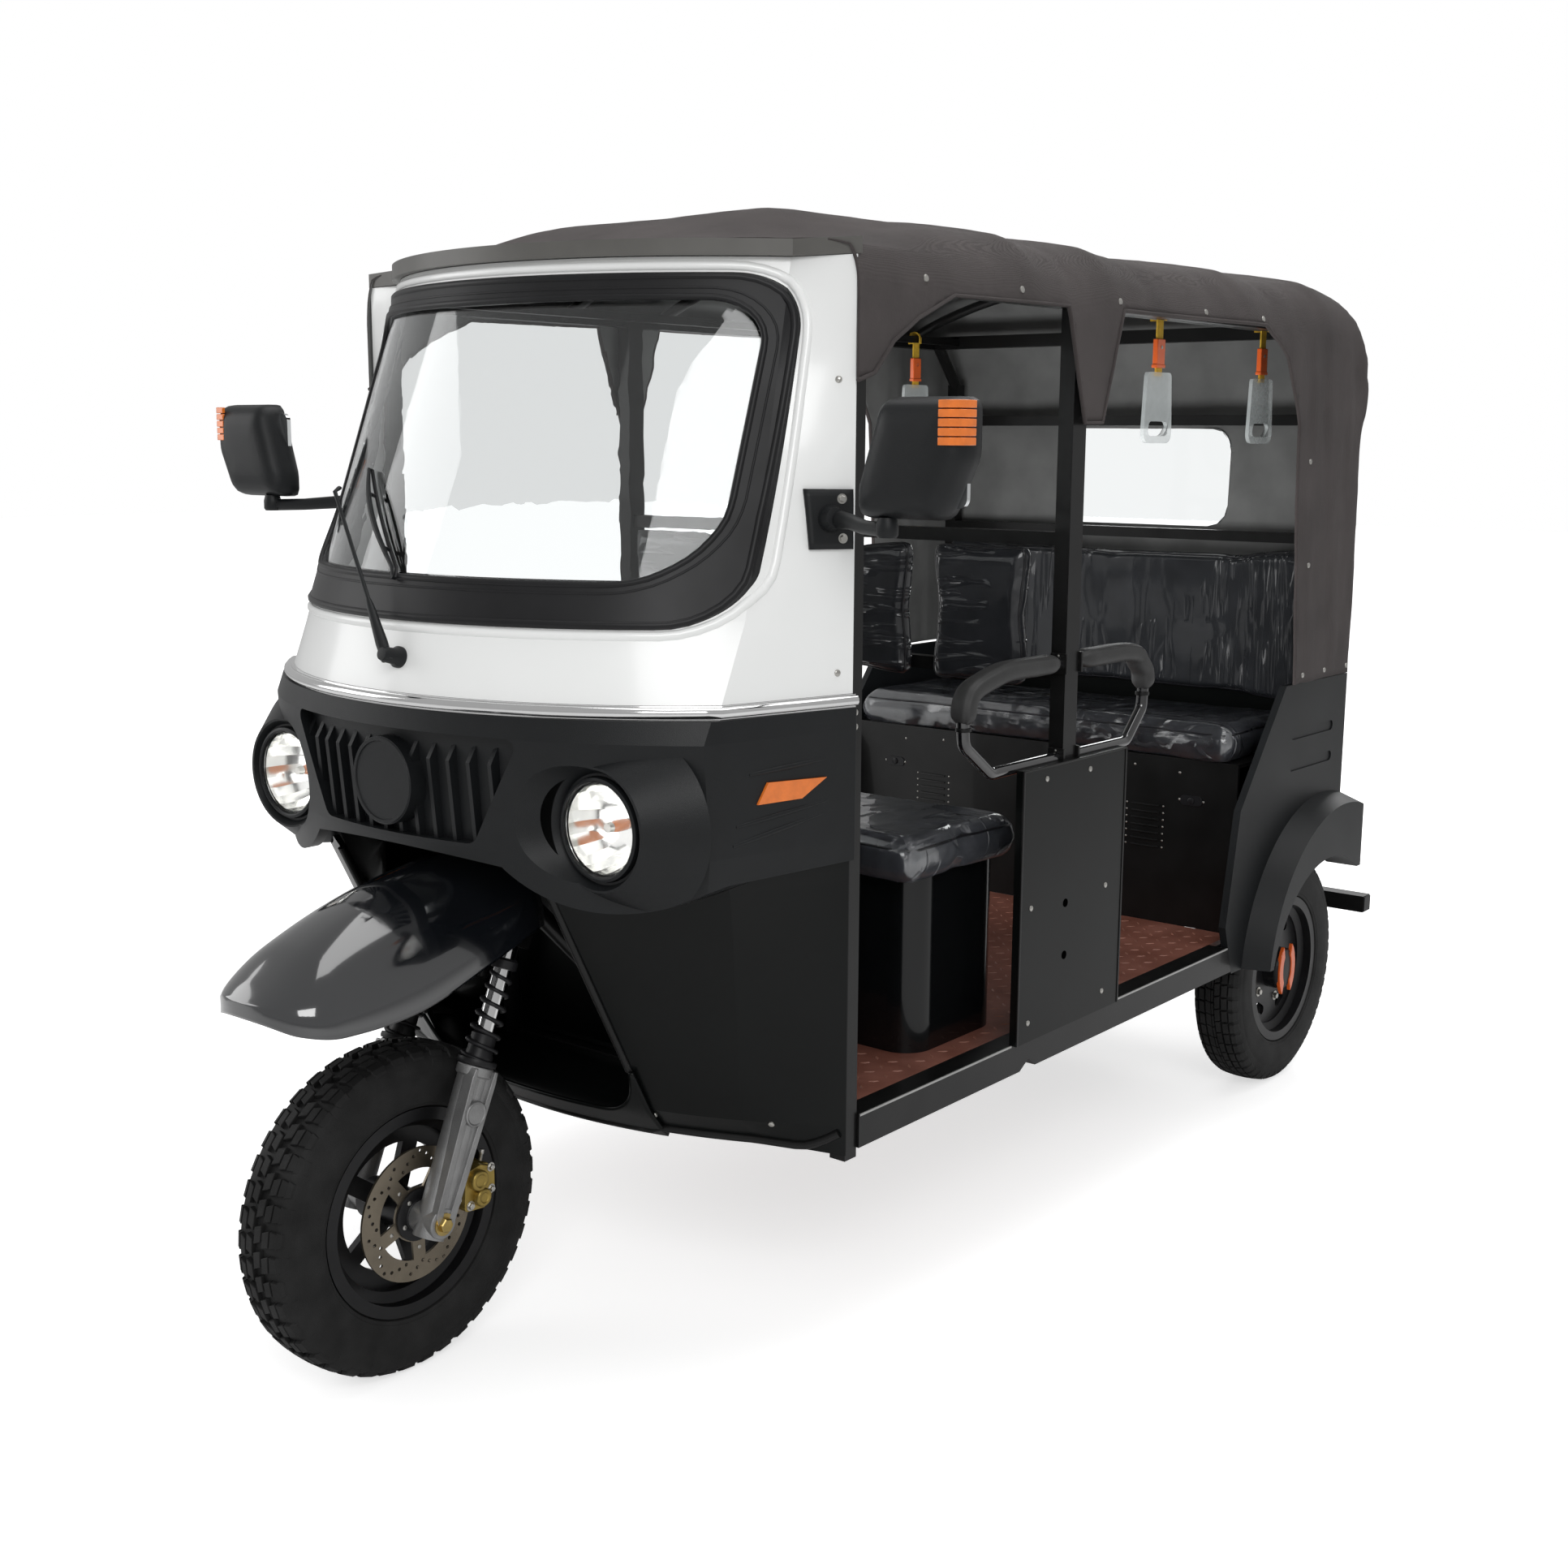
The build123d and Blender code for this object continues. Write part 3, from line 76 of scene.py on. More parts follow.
addLamp("keyLight", (4.2, -4.6, 4.2), (0, -0.2, 0.8), (3.2, 2.4), studio["key"])
addLamp("fillLight", (-4.8, -3.2, 2.6), (0, 0, 0.8), (3.0, 3.0), studio["fill"])
addLamp("topLight", (0.4, 0.6, 5.2), (0, 0, 0.6), (4.0, 4.0), studio["top"])
addLamp("backLight", (-1.5, 5.2, 3.0), (0, 0, 0.9), (3.0, 2.0), studio["back"])
addLamp("cabinLight", (0, 0.05, 1.02), (0, 1.2, 1.75), (0.7, 0.4), studio["cabin"])
for ray in ("visible_camera", "visible_glossy", "visible_transmission"):
    setattr(bpy.data.objects["cabinLight"], ray, False)


def mathNode(tree, operation, *values):
    # a math node; each value is a number or another node's output
    step = tree.nodes.new("ShaderNodeMath")
    step.operation = operation
    for socket, value in zip(step.inputs, values):
        if isinstance(value, (int, float)):
            socket.default_value = value
        else:
            tree.links.new(value, socket)
    return step.outputs[0]


def seenThrough(tree):
    # one where the camera looks, straight or through glass
    rays = tree.nodes.new("ShaderNodeLightPath")
    return mathNode(tree, "MAXIMUM", rays.outputs["Is Camera Ray"], rays.outputs["Is Transmission Ray"])


world = bpy.data.worlds.new("studio")
bpy.context.scene.world = world
world.use_nodes = True
worldNodes, worldLinks = world.node_tree.nodes, world.node_tree.links
worldNodes.clear()
pick = worldNodes.new("ShaderNodeMixShader")
worldLinks.new(seenThrough(world.node_tree), pick.inputs["Fac"])
for socket, strength in ((1, studio["sky"]), (2, 1.0)):
    sky = worldNodes.new("ShaderNodeBackground")
    sky.inputs["Color"].default_value = (1, 1, 1, 1)
    sky.inputs["Strength"].default_value = strength
    worldLinks.new(sky.outputs[0], pick.inputs[socket])
worldOut = worldNodes.new("ShaderNodeOutputWorld")
worldLinks.new(pick.outputs[0], worldOut.inputs["Surface"])

floorMesh = bpy.data.meshes.new("floor")
edge = studio["floorHalf"]
floorMesh.from_pydata([(-edge, -edge, 0), (edge, -edge, 0), (edge, edge, 0), (-edge, edge, 0)], [],
                      [(0, 1, 2, 3)])
floorObject = bpy.data.objects.new("floor", floorMesh)
bpy.context.collection.objects.link(floorObject)
floorPaint = bpy.data.materials.new("floorPaint")
floorPaint.use_nodes = True
floorBase = floorPaint.node_tree.nodes["Principled BSDF"]
floorBase.inputs["Base Color"].default_value = (*[studio["floorGrey"]] * 3, 1)
floorBase.inputs["Roughness"].default_value = 0.9
# seen by the camera and through glass, the floor is lifted to the white behind it, and keeps the shadow
floorTree = floorPaint.node_tree
floorPlace = floorTree.nodes.new("ShaderNodeTexCoord")
floorLength = floorTree.nodes.new("ShaderNodeVectorMath")
floorLength.operation = "LENGTH"
floorTree.links.new(floorPlace.outputs["Object"], floorLength.inputs[0])
floorFar = floorTree.nodes.new("ShaderNodeMapRange")
for socket, value in (("From Min", studio["nearReach"]), ("From Max", studio["farReach"]),
                      ("To Min", studio["floorNear"])):
    floorFar.inputs[socket].default_value = value
floorTree.links.new(floorLength.outputs["Value"], floorFar.inputs["Value"])
floorGlow = mathNode(floorTree, "MULTIPLY", seenThrough(floorTree), floorFar.outputs["Result"])
floorBase.inputs["Emission Color"].default_value = (1, 1, 1, 1)
floorTree.links.new(floorGlow, floorBase.inputs["Emission Strength"])
floorMesh.materials.append(floorPaint)
print("camera, lamps and floor ready")


def surface(name, color, rough, metal=0.0, coat=0.0, speck=0.0, speckSize=60, grain=0.0, grainSize=400,
            dust=0.0, weave=None, wrinkle=0.0, wrinkleSize=12, clear=0.0, ior=1.5, sheen=0.0,
            roughSpread=0.0, alpha=1.0, gloss=0.5, coatIor=1.5, coatRough=0.06, folds=None):
    paint = bpy.data.materials.new(name)
    paint.use_nodes = True
    tree = paint.node_tree
    shader = tree.nodes["Principled BSDF"]
    place = tree.nodes.new("ShaderNodeTexCoord")

    def noiseAt(scale, detail=4.0, stretch=None):
        source = place.outputs["Object"]
        if stretch:
            mapping = tree.nodes.new("ShaderNodeMapping")
            mapping.inputs["Scale"].default_value = stretch
            tree.links.new(source, mapping.inputs["Vector"])
            source = mapping.outputs[0]
        texture = tree.nodes.new("ShaderNodeTexNoise")
        texture.inputs["Scale"].default_value = scale
        texture.inputs["Detail"].default_value = detail
        tree.links.new(source, texture.inputs["Vector"])
        return texture.outputs["Fac"]

    shader.inputs["Base Color"].default_value = (*color, 1)
    values = {
        "Roughness": rough, "Metallic": metal, "Coat Weight": coat, "Coat Roughness": coatRough,
        "Coat IOR": coatIor, "IOR": ior, "Transmission Weight": clear, "Alpha": alpha,
        "Specular IOR Level": gloss, "Sheen Weight": sheen, "Sheen Roughness": 0.6 if sheen else 0.5,
    }
    for socket, value in values.items():
        shader.inputs[socket].default_value = value
    # colour drifts a little over the surface, and dust lightens it
    spread = speck if speck else 0.04
    ramp = tree.nodes.new("ShaderNodeValToRGB")
    dark, light = ramp.color_ramp.elements
    dark.position, light.position = 0.3, 0.7
    dark.color = (*[max(0, c * (1 - spread)) for c in color], 1)
    light.color = (*[min(1, c * (1 + spread) + dust) for c in color], 1)
    tree.links.new(noiseAt(speckSize), ramp.inputs["Fac"])
    tree.links.new(ramp.outputs["Color"], shader.inputs["Base Color"])
    # roughness varies too
    remap = tree.nodes.new("ShaderNodeMapRange")
    little = 0.0 if clear else 0.02
    remap.inputs["To Min"].default_value = max(0.0, rough - roughSpread - little)
    remap.inputs["To Max"].default_value = min(1.0, rough + roughSpread + little)
    tree.links.new(noiseAt(speckSize * 0.4, 6.0), remap.inputs["Value"])
    tree.links.new(remap.outputs["Result"], shader.inputs["Roughness"])
    # height: weave, grain and wrinkles add up
    heights = []
    if grain:
        heights.append((noiseAt(grainSize, 2.0), grain))
    if wrinkle:
        heights.append((noiseAt(wrinkleSize, 5.0, (1.0, 1.0, 2.2)), wrinkle))
    if weave:
        for direction in ("X", "Y", "Z"):
            wave = tree.nodes.new("ShaderNodeTexWave")
            wave.bands_direction = direction
            wave.inputs["Scale"].default_value = weave[0]
            wave.inputs["Distortion"].default_value = 1.5
            wave.inputs["Detail"].default_value = 1.0
            tree.links.new(place.outputs["Object"], wave.inputs["Vector"])
            heights.append((wave.outputs["Fac"], weave[1]))
    last = None
    for value, strength in heights:
        bump = tree.nodes.new("ShaderNodeBump")
        bump.inputs["Strength"].default_value = 0.6
        bump.inputs["Distance"].default_value = strength
        tree.links.new(value, bump.inputs["Height"])
        if last:
            tree.links.new(last, bump.inputs["Normal"])
        last = bump.outputs["Normal"]
    if last:
        tree.links.new(last, shader.inputs["Normal"])
    if folds:
        # thin creases in a clear film, in patches: (stretch, height)
        stretch, height = folds
        line = noiseAt(1.0, 1.5, stretch)
        for operation, value in (("SUBTRACT", 0.5), ("ABSOLUTE", 0), ("MULTIPLY", -16), ("ADD", 1),
                                 ("MAXIMUM", 0)):
            line = mathNode(tree, operation, line, value)
        patch = tree.nodes.new("ShaderNodeMapRange")
        patch.inputs["From Min"].default_value, patch.inputs["From Max"].default_value = 0.44, 0.6
        tree.links.new(noiseAt(5.0, 1.0), patch.inputs["Value"])
        crease = tree.nodes.new("ShaderNodeBump")
        crease.inputs["Strength"].default_value = 1.0
        crease.inputs["Distance"].default_value = height
        tree.links.new(mathNode(tree, "MULTIPLY", line, patch.outputs["Result"]), crease.inputs["Height"])
        tree.links.new(crease.outputs["Normal"], shader.inputs["Coat Normal"])
    return paint


# colour, roughness, the rest
finishSetup = {
    "bodyWhite": ((0.95, 0.96, 0.95), 0.30, dict(coat=0.55, coatRough=0.14, speck=0.02, speckSize=3)),
    "noseBlack": ((0.009, 0.010, 0.011), 0.42,
                  dict(speck=0.15, speckSize=9, grain=0.0004, grainSize=900, roughSpread=0.06, gloss=0.3)),
    "panelBlack": ((0.0030, 0.0036, 0.0035), 0.34,
                   dict(coat=0.12, speck=0.2, speckSize=6, roughSpread=0.05, gloss=0.15)),
    "fenderBlack": ((0.006, 0.007, 0.009), 0.14, dict(coat=1.0, coatIor=1.9, speck=0.2, speckSize=5)),
    "sealRubber": ((0.010, 0.010, 0.011), 0.42, dict(speck=0.2, speckSize=14, roughSpread=0.08, gloss=0.3)),
    "chassisBlack": ((0.006, 0.006, 0.006), 0.34,
                     dict(coat=0.15, speck=0.25, speckSize=12, roughSpread=0.06, gloss=0.25)),
    "floorBrown": ((0.19, 0.065, 0.042), 0.5,
                   dict(speck=0.2, speckSize=14, dust=0.02, grain=0.0003, grainSize=300, roughSpread=0.12)),
    "screenGlass": ((0.72, 0.74, 0.74), 0.0, dict(clear=1.0, ior=1.45, speck=0.002, speckSize=2)),
    "lampGlass": ((0.99, 0.99, 0.99), 0.0, dict(clear=1.0, ior=1.2, speck=0.002, speckSize=2)),
    "acrylic": ((0.75, 0.80, 0.80), 0.08, dict(ior=1.45, alpha=0.38, coat=1.0)),
    "windowSheet": ((0.90, 0.92, 0.92), 0.02,
                    dict(clear=1.0, ior=1.2, speck=0.003, speckSize=2, wrinkle=0.0006, wrinkleSize=5)),
    "chrome": ((0.78, 0.78, 0.78), 0.09, dict(metal=1.0, speck=0.05, speckSize=9)),
    "reflector": ((0.92, 0.92, 0.90), 0.14, dict(metal=1.0, speck=0.05, speckSize=20)),
    "greyTrim": ((0.115, 0.112, 0.104), 0.42, dict(metal=0.1, speck=0.12, speckSize=8, roughSpread=0.08)),
    "amberLens": ((0.85, 0.20, 0.02), 0.16, dict(coat=0.8, speck=0.1, speckSize=60)),
    "redLens": ((0.45, 0.01, 0.01), 0.16, dict(coat=0.8, speck=0.1, speckSize=60)),
    "canopyCloth": ((0.066, 0.055, 0.054), 0.86,
                    dict(speck=0.16, speckSize=7, dust=0.004, weave=(260, 0.0006), wrinkle=0.004, wrinkleSize=9,
                         sheen=0.08, roughSpread=0.05, gloss=0.25)),
    "seatVinyl": ((0.009, 0.009, 0.011), 0.34,
                  dict(coat=0.4, speck=0.2, speckSize=20, wrinkle=0.004, wrinkleSize=9, roughSpread=0.08,
                       gloss=0.3)),
    "wrapUpright": ((0.013, 0.014, 0.016), 0.38,
                    dict(coat=1.0, coatRough=0.08, speck=0.2, speckSize=20, folds=((30, 30, 2.6), 0.006),
                         gloss=0.2)),
    "wrapAcross": ((0.016, 0.017, 0.020), 0.38,
                   dict(coat=1.0, coatRough=0.08, speck=0.2, speckSize=20, folds=((5, 5, 34), 0.006),
                        gloss=0.2)),
    # the flat cushions' copy of the wrapped vinyl is lighter and bluer than the upright pads': painted sheen of
    # the light falling on their tops
    "wrapFlatPaintedSheen": ((0.040, 0.042, 0.049), 0.34,
                 dict(coat=1.0, coatRough=0.12, coatIor=1.7, speck=0.2, speckSize=20,
                      folds=((7, 26, 10), 0.006), gloss=0.3)),
    "strapOrange": ((0.80, 0.38, 0.04), 0.75, dict(speck=0.2, speckSize=80, weave=(600, 0.0004))),
    "mirrorGlass": ((0.82, 0.84, 0.85), 0.03, dict(metal=1.0, speck=0.02, speckSize=4)),
    "steelDark": ((0.010, 0.010, 0.011), 0.36,
                  dict(metal=0.2, speck=0.3, speckSize=18, roughSpread=0.1, gloss=0.4)),
    "forkCast": ((0.30, 0.30, 0.30), 0.42,
                 dict(metal=0.7, speck=0.14, speckSize=30, grain=0.0008, grainSize=500, roughSpread=0.08)),
    "discSteel": ((0.25, 0.215, 0.165), 0.32, dict(metal=0.9, speck=0.12, speckSize=24, roughSpread=0.1)),
    "caliperGold": ((0.36, 0.26, 0.07), 0.36, dict(metal=0.8, speck=0.16, speckSize=40, roughSpread=0.08)),
    "tyreRubber": ((0.0075, 0.0075, 0.0075), 0.66,
                   dict(speck=0.3, speckSize=16, dust=0.008, grain=0.0008, grainSize=700, roughSpread=0.1,
                        gloss=0.3)),
    "batteryGrey": ((0.05, 0.05, 0.055), 0.5, dict(speck=0.2, speckSize=20)),
    "boltSteel": ((0.52, 0.51, 0.48), 0.3, dict(metal=0.95, speck=0.1, speckSize=60)),
    "boxBlack": ((0.004, 0.0045, 0.005), 0.16, dict(coat=0.3, speck=0.2, speckSize=6, gloss=0.25)),
    "tubeBlack": ((0.006, 0.006, 0.007), 0.12, dict(coat=1.0, coatIor=1.7, speck=0.2, speckSize=12)),
    "padRubber": ((0.030, 0.030, 0.030), 0.5,
                  dict(speck=0.15, speckSize=20, grain=0.0004, grainSize=500, roughSpread=0.08)),
    "bulbOrange": ((0.75, 0.25, 0.08), 0.12, dict(coat=1.0, speck=0.05, speckSize=60)),
    "plasticWrap": ((0.97, 0.98, 0.98), 0.0,
                    dict(clear=1.0, ior=1.25, speck=0.002, speckSize=2, wrinkle=0.0015, wrinkleSize=18)),
    # near-black, matte and without gloss: painted shade standing in for the depth of a hole
    "paintedHoleShade": ((0.0006, 0.0006, 0.0006), 0.9, dict(gloss=0.0)),
    "strapYellow": ((0.80, 0.50, 0.05), 0.75, dict(speck=0.15, speckSize=80, weave=(600, 0.0004))),
    "capOrange": ((0.80, 0.13, 0.02), 0.3, dict(coat=0.5, speck=0.05, speckSize=30)),
    "brassNut": ((0.45, 0.33, 0.12), 0.3, dict(metal=0.95, speck=0.1, speckSize=60)),
    "edgeSilver": ((0.45, 0.45, 0.44), 0.4, dict(metal=0.6, speck=0.1, speckSize=20)),
    "treadPlate": ((0.25, 0.095, 0.06), 0.42, dict(speck=0.2, speckSize=20, dust=0.03, roughSpread=0.1)),
    "innerSkin": ((0.13, 0.132, 0.13), 0.7, dict(speck=0.15, speckSize=10, gloss=0.2)),
}

finish = {name: surface(name, color, rough, **rest) for name, (color, rough, rest) in finishSetup.items()}

nodeFinish = {
    "chassis_frame": "chassisBlack", "floor_pan": "floorBrown", "sills": "chassisBlack",
    "bulkhead": "panelBlack",
    "dashboard": "noseBlack", "cab_frame": "chassisBlack", "front_panel": "bodyWhite",
    "windscreen_seal": "sealRubber",
    "windscreen_glass": "screenGlass", "chrome_strip": "chrome", "visor": "greyTrim", "nose_cowl": "noseBlack",
    "grille": "noseBlack", "leg_shields": "panelBlack", "headlamps": "reflector",
    "headlamp_lenses": "lampGlass",
    "side_markers": "amberLens", "canopy": "canopyCloth", "rear_window": "windowSheet",
    "quarter_panels": "noseBlack",
    "rear_panel": "panelBlack", "tail_lamps": "redLens", "driver_seat_box": "boxBlack",
    "driver_cushion": "seatVinyl",
    "driver_backrest": "seatVinyl", "rear_seat_box": "chassisBlack", "rear_cushion": "seatVinyl",
    "rear_backrest": "seatVinyl", "battery_pack": "batteryGrey", "side_panels": "panelBlack",
    "armrests": "tubeBlack",
    "handle_straps": "strapOrange", "hand_grips": "acrylic", "mirrors": "noseBlack",
    "mirror_glasses": "mirrorGlass",
    "wiper": "noseBlack", "rear_axle": "steelDark", "leaf_springs": "steelDark", "fork_legs": "forkCast",
    "fork_tubes": "chrome", "fork_springs": "sealRubber", "steering_column": "chassisBlack",
    "front_fender": "fenderBlack", "brake_caliper": "caliperGold", "front_tyre": "tyreRubber",
    "front_rim": "steelDark", "brake_disc": "discSteel", "rear_tyre_left": "tyreRubber",
    "rear_rim_left": "steelDark",
    "rear_tyre_right": "tyreRubber", "rear_rim_right": "steelDark",
}
for nodeName, finishName in nodeFinish.items():
    for slot in nodes[nodeName].material_slots:
        slot.material = finish[finishName]
print("finishes on", len(nodeFinish), "nodes")


def newPiece(name, mesh, finishName, body, smooth=True, sharpAngle=40):
    piece = bpy.data.objects.new(name, mesh)
    bpy.context.collection.objects.link(piece)
    mesh.materials.clear()
    mesh.materials.append(finish[finishName])
    if smooth:
        for polygon in mesh.polygons:
            polygon.use_smooth = True
        mesh.set_sharp_from_angle(angle=math.radians(sharpAngle))
    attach(piece, body)
    return piece


def bakedMesh(piece, name):
    # the mesh as the modifiers leave it, in its own right
    mesh = bpy.data.meshes.new_from_object(piece.evaluated_get(bpy.context.evaluated_depsgraph_get()))
    mesh.name = name
    return mesh


def newMeshes(count):
    return [bmesh.new() for _ in range(count)]


def bareObject(name, b):
    # an object to build with, on no body
    bmesh.ops.recalc_face_normals(b, faces=b.faces)
    mesh = bpy.data.meshes.new(name)
    b.to_mesh(mesh)
    b.free()
    piece = bpy.data.objects.new(name, mesh)
    bpy.context.collection.objects.link(piece)
    return piece


def bridge(b, near, far, closed=True):
    # faces between two rings of corners
    count = len(near)
    for k in range(count if closed else count - 1):
        b.faces.new((near[k], near[(k + 1) % count], far[(k + 1) % count], far[k]))


def addWall(piece, thickness, offset=-1):
    wall = piece.modifiers.new("wall", "SOLIDIFY")
    wall.thickness, wall.offset = thickness, offset
    return wall


def addSmoother(piece, levels=1):
    smoother = piece.modifiers.new("smoother", "SUBSURF")
    smoother.levels = smoother.render_levels = levels


def prism(name, outline, low, high, axis):
    # outline points are (a, b) across the axis, in the order of the other two axes
    tool = bmesh.new()
    rings = []
    for level in (low, high):
        points = []
        for a, b in outline:
            place = [a, b]
            place.insert("XYZ".index(axis), level)
            points.append(tool.verts.new(place))
        rings.append(points)
    bridge(tool, *rings)
    tool.faces.new(rings[0][::-1])
    tool.faces.new(rings[1])
    return bareObject(name, tool)


def arcPoints(a, middle, b, count):
    # points on the circle through three points, ends included
    (x1, y1), (x2, y2), (x3, y3) = a, middle, b
    d = 2 * (x1 * (y2 - y3) + x2 * (y3 - y1) + x3 * (y1 - y2))
    s1, s2, s3 = x1 * x1 + y1 * y1, x2 * x2 + y2 * y2, x3 * x3 + y3 * y3
    cx = (s1 * (y2 - y3) + s2 * (y3 - y1) + s3 * (y1 - y2)) / d
    cy = (s1 * (x3 - x2) + s2 * (x1 - x3) + s3 * (x2 - x1)) / d
    start, mid, end = (math.atan2(y - cy, x - cx) for x, y in (a, middle, b))
    sweep = (end - start) % (2 * math.pi)
    if (mid - start) % (2 * math.pi) > sweep:
        sweep -= 2 * math.pi
    radius = math.hypot(x1 - cx, y1 - cy)
    return [(cx + radius * math.cos(start + sweep * i / count),
             cy + radius * math.sin(start + sweep * i / count)) for i in range(count + 1)]


def skinOf(*nodeNames):
    # the outer skin of CAD nodes, to lay trim on
    points, faces = [], []
    for nodeName in nodeNames:
        node = nodes[nodeName]
        first = len(points)
        points += [node.matrix_world @ v.co for v in node.data.vertices]
        faces += [[first + i for i in polygon.vertices] for polygon in node.data.polygons]
    return BVHTree.FromPolygons(points, faces)


def lands(skin, origin, direction):
    place, normal, _, _ = skin.ray_cast(Vector(origin), Vector(direction))
    if place is None:
        place, normal, _, _ = skin.find_nearest(Vector(origin))
    if normal.dot(Vector(direction)) > 0:
        normal = -normal
    return place, normal


def fromSide(skin, side, y, z):
    # where a level line from one side meets the skin, y behind the front axle
    return lands(skin, (side * 2, frontY + y, z), (-side, 0, 0))


def fromFront(skin, x, z):
    return lands(skin, (x, -3, z), (0, 1, 0))


def addTube(b, points, radius, sides=10, closed=False, flat=1.0):
    points = [Vector(p) for p in points]
    count = len(points)
    rings, across = [], None
    for i, point in enumerate(points):
        ahead = points[(i + 1) % count] if closed or i < count - 1 else point
        behind = points[i - 1] if closed or i > 0 else point
        way = (ahead - behind).normalized()
        if across is None:
            across = way.orthogonal().normalized()
        across = (across - way * across.dot(way)).normalized()
        other = way.cross(across)
        r = radius[i] if isinstance(radius, (list, tuple)) else radius
        turns = [2 * math.pi * k / sides for k in range(sides)]
        rings.append([b.verts.new(point + (across * math.cos(a) + other * math.sin(a) * flat) * r)
                      for a in turns])
    for i in range(count if closed else count - 1):
        bridge(b, rings[i], rings[(i + 1) % count])
    if not closed:
        b.faces.new(rings[0][::-1])
        b.faces.new(rings[-1])


def addLathe(b, profile, origin, axis, steps=28, closed=False):
    # profile: (radius, distance along the axis)
    axis = Vector(axis).normalized()
    across = axis.orthogonal().normalized()
    other = axis.cross(across)
    rings = []
    for radius, along in profile:
        middle = Vector(origin) + axis * along
        if radius < 1e-6:
            rings.append([b.verts.new(middle)])
            continue
        turns = [2 * math.pi * k / steps for k in range(steps)]
        rings.append([b.verts.new(middle + (across * math.cos(a) + other * math.sin(a)) * radius)
                      for a in turns])
    pairs = list(zip(rings, rings[1:])) + ([(rings[-1], rings[0])] if closed else [])
    for near, far in pairs:
        for k in range(steps):
            corners = [near[k % len(near)], near[(k + 1) % len(near)], far[(k + 1) % len(far)],
                       far[k % len(far)]]
            corners = [v for i, v in enumerate(corners) if v not in corners[:i]]
            if len(corners) > 2:
                b.faces.new(corners)


def addPrism(b, outline, origin, u, v, depth):
    # outline points along u and v from the origin, pushed out along their cross product
    u, v = Vector(u), Vector(v)
    push = u.cross(v).normalized() * depth
    low = [b.verts.new(Vector(origin) + u * x + v * y) for x, y in outline]
    high = [b.verts.new(corner.co + push) for corner in low]
    bridge(b, low, high)
    b.faces.new(low[::-1])
    b.faces.new(high)


def addBox(b, middle, size, turn=None):
    x, y, z = (side / 2 for side in size)
    corners = [Vector((i, j, k)) for i in (-x, x) for j in (-y, y) for k in (-z, z)]
    if turn:
        corners = [turn @ corner for corner in corners]
    made = [b.verts.new(Vector(middle) + corner) for corner in corners]
    for side in ((0, 1, 3, 2), (4, 6, 7, 5), (0, 4, 5, 1), (2, 3, 7, 6), (0, 2, 6, 4), (1, 5, 7, 3)):
        b.faces.new([made[i] for i in side])


def addBolt(b, place, normal, radius, height, sides=6):
    # a washer and a head, or a low dome where there are many sides
    normal = Vector(normal).normalized()
    place = Vector(place) - normal * 0.0005
    if sides > 8:
        profile = [(radius, 0), (radius * 0.92, height * 0.6), (radius * 0.6, height * 0.95), (0, height)]
        addLathe(b, profile, place, normal, sides)
        return
    addLathe(b, [(radius * 1.5, 0), (radius * 1.5, height * 0.22), (0, height * 0.22)], place, normal, 16)
    addLathe(b, [(radius, height * 0.2), (radius, height * 0.85), (radius * 0.85, height), (0, height)], place,
             normal, sides)


def makePiece(name, b, finishName, body="chassis", bevel=0.0, sharpAngle=40, node=None):
    bmesh.ops.recalc_face_normals(b, faces=b.faces)
    mesh = bpy.data.meshes.new(name)
    b.to_mesh(mesh)
    b.free()
    piece = newPiece(name, mesh, finishName, body, sharpAngle=sharpAngle)
    if bevel:
        rounding = piece.modifiers.new("rounding", "BEVEL")
        rounding.width, rounding.segments, rounding.limit_method = bevel, 2, "ANGLE"
        rounding.angle_limit = math.radians(35)
    if node:
        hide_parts(node)
    return piece


def filletOutline(corners, radii, steps=6):
    # a polygon's corners rounded by arcs
    points = []
    for i, corner in enumerate(corners):
        here = Vector(corner)
        before = (Vector(corners[i - 1]) - here).normalized()
        after = (Vector(corners[(i + 1) % len(corners)]) - here).normalized()
        half = before.angle(after) / 2
        back = radii[i] / math.tan(half)
        middle = here + (before + after).normalized() * (radii[i] / math.sin(half))
        start, end = here + before * back - middle, here + after * back - middle
        turn = start.angle_signed(end)
        for k in range(steps + 1):
            spun = start.copy()
            spun.rotate(Matrix.Rotation(-turn * k / steps, 2))
            points.append(tuple(middle + spun))
    return points


def evenPoints(outline, count):
    # the closed outline walked in even steps
    lengths = [math.dist(outline[i], outline[(i + 1) % len(outline)]) for i in range(len(outline))]
    step, points = sum(lengths) / count, []
    for k in range(count):
        walk, i = k * step, 0
        while walk > lengths[i]:
            walk -= lengths[i]
            i += 1
        a, c = outline[i], outline[(i + 1) % len(outline)]
        share = walk / lengths[i] if lengths[i] else 0
        points.append(tuple(a[j] + (c[j] - a[j]) * share for j in range(len(a))))
    return points


canopySetup = {
    "half": 0.558, "hem": 1.695, "shoulderHalf": 0.455, "shoulder": 1.797, "top": 1.84,
    "front": 0.232, "visorTop": 1.754, "foot": 0.945, "back": 2.349,
    "bows": (0.93, 1.20, 1.73, 2.11), "voxel": 0.014, "sag": 0.007, "thickness": 0.0025, "drape": 0.34,
    "tip": 0.246, "tipRadius": 0.6, "tipHalf": 0.44,
    # door opening seen from the side: behind the front axle, height
    "doors": ((2.035, 0.6), (2.035, 0.945), (1.995, 1.5), (1.925, 1.632), (1.816, 1.691), (1.232, 1.687),
              (1.169, 1.492),
              (1.11, 1.491), (1.046, 1.685), (0.701, 1.681), (0.604, 1.642), (0.54, 1.605), (0.492, 1.557),
              (0.446, 1.544), (0.1, 1.544), (0.1, 0.6)),
    "windowHalf": 0.232, "windowLow": 1.263, "windowHigh": 1.491, "windowCorner": 0.05,
}


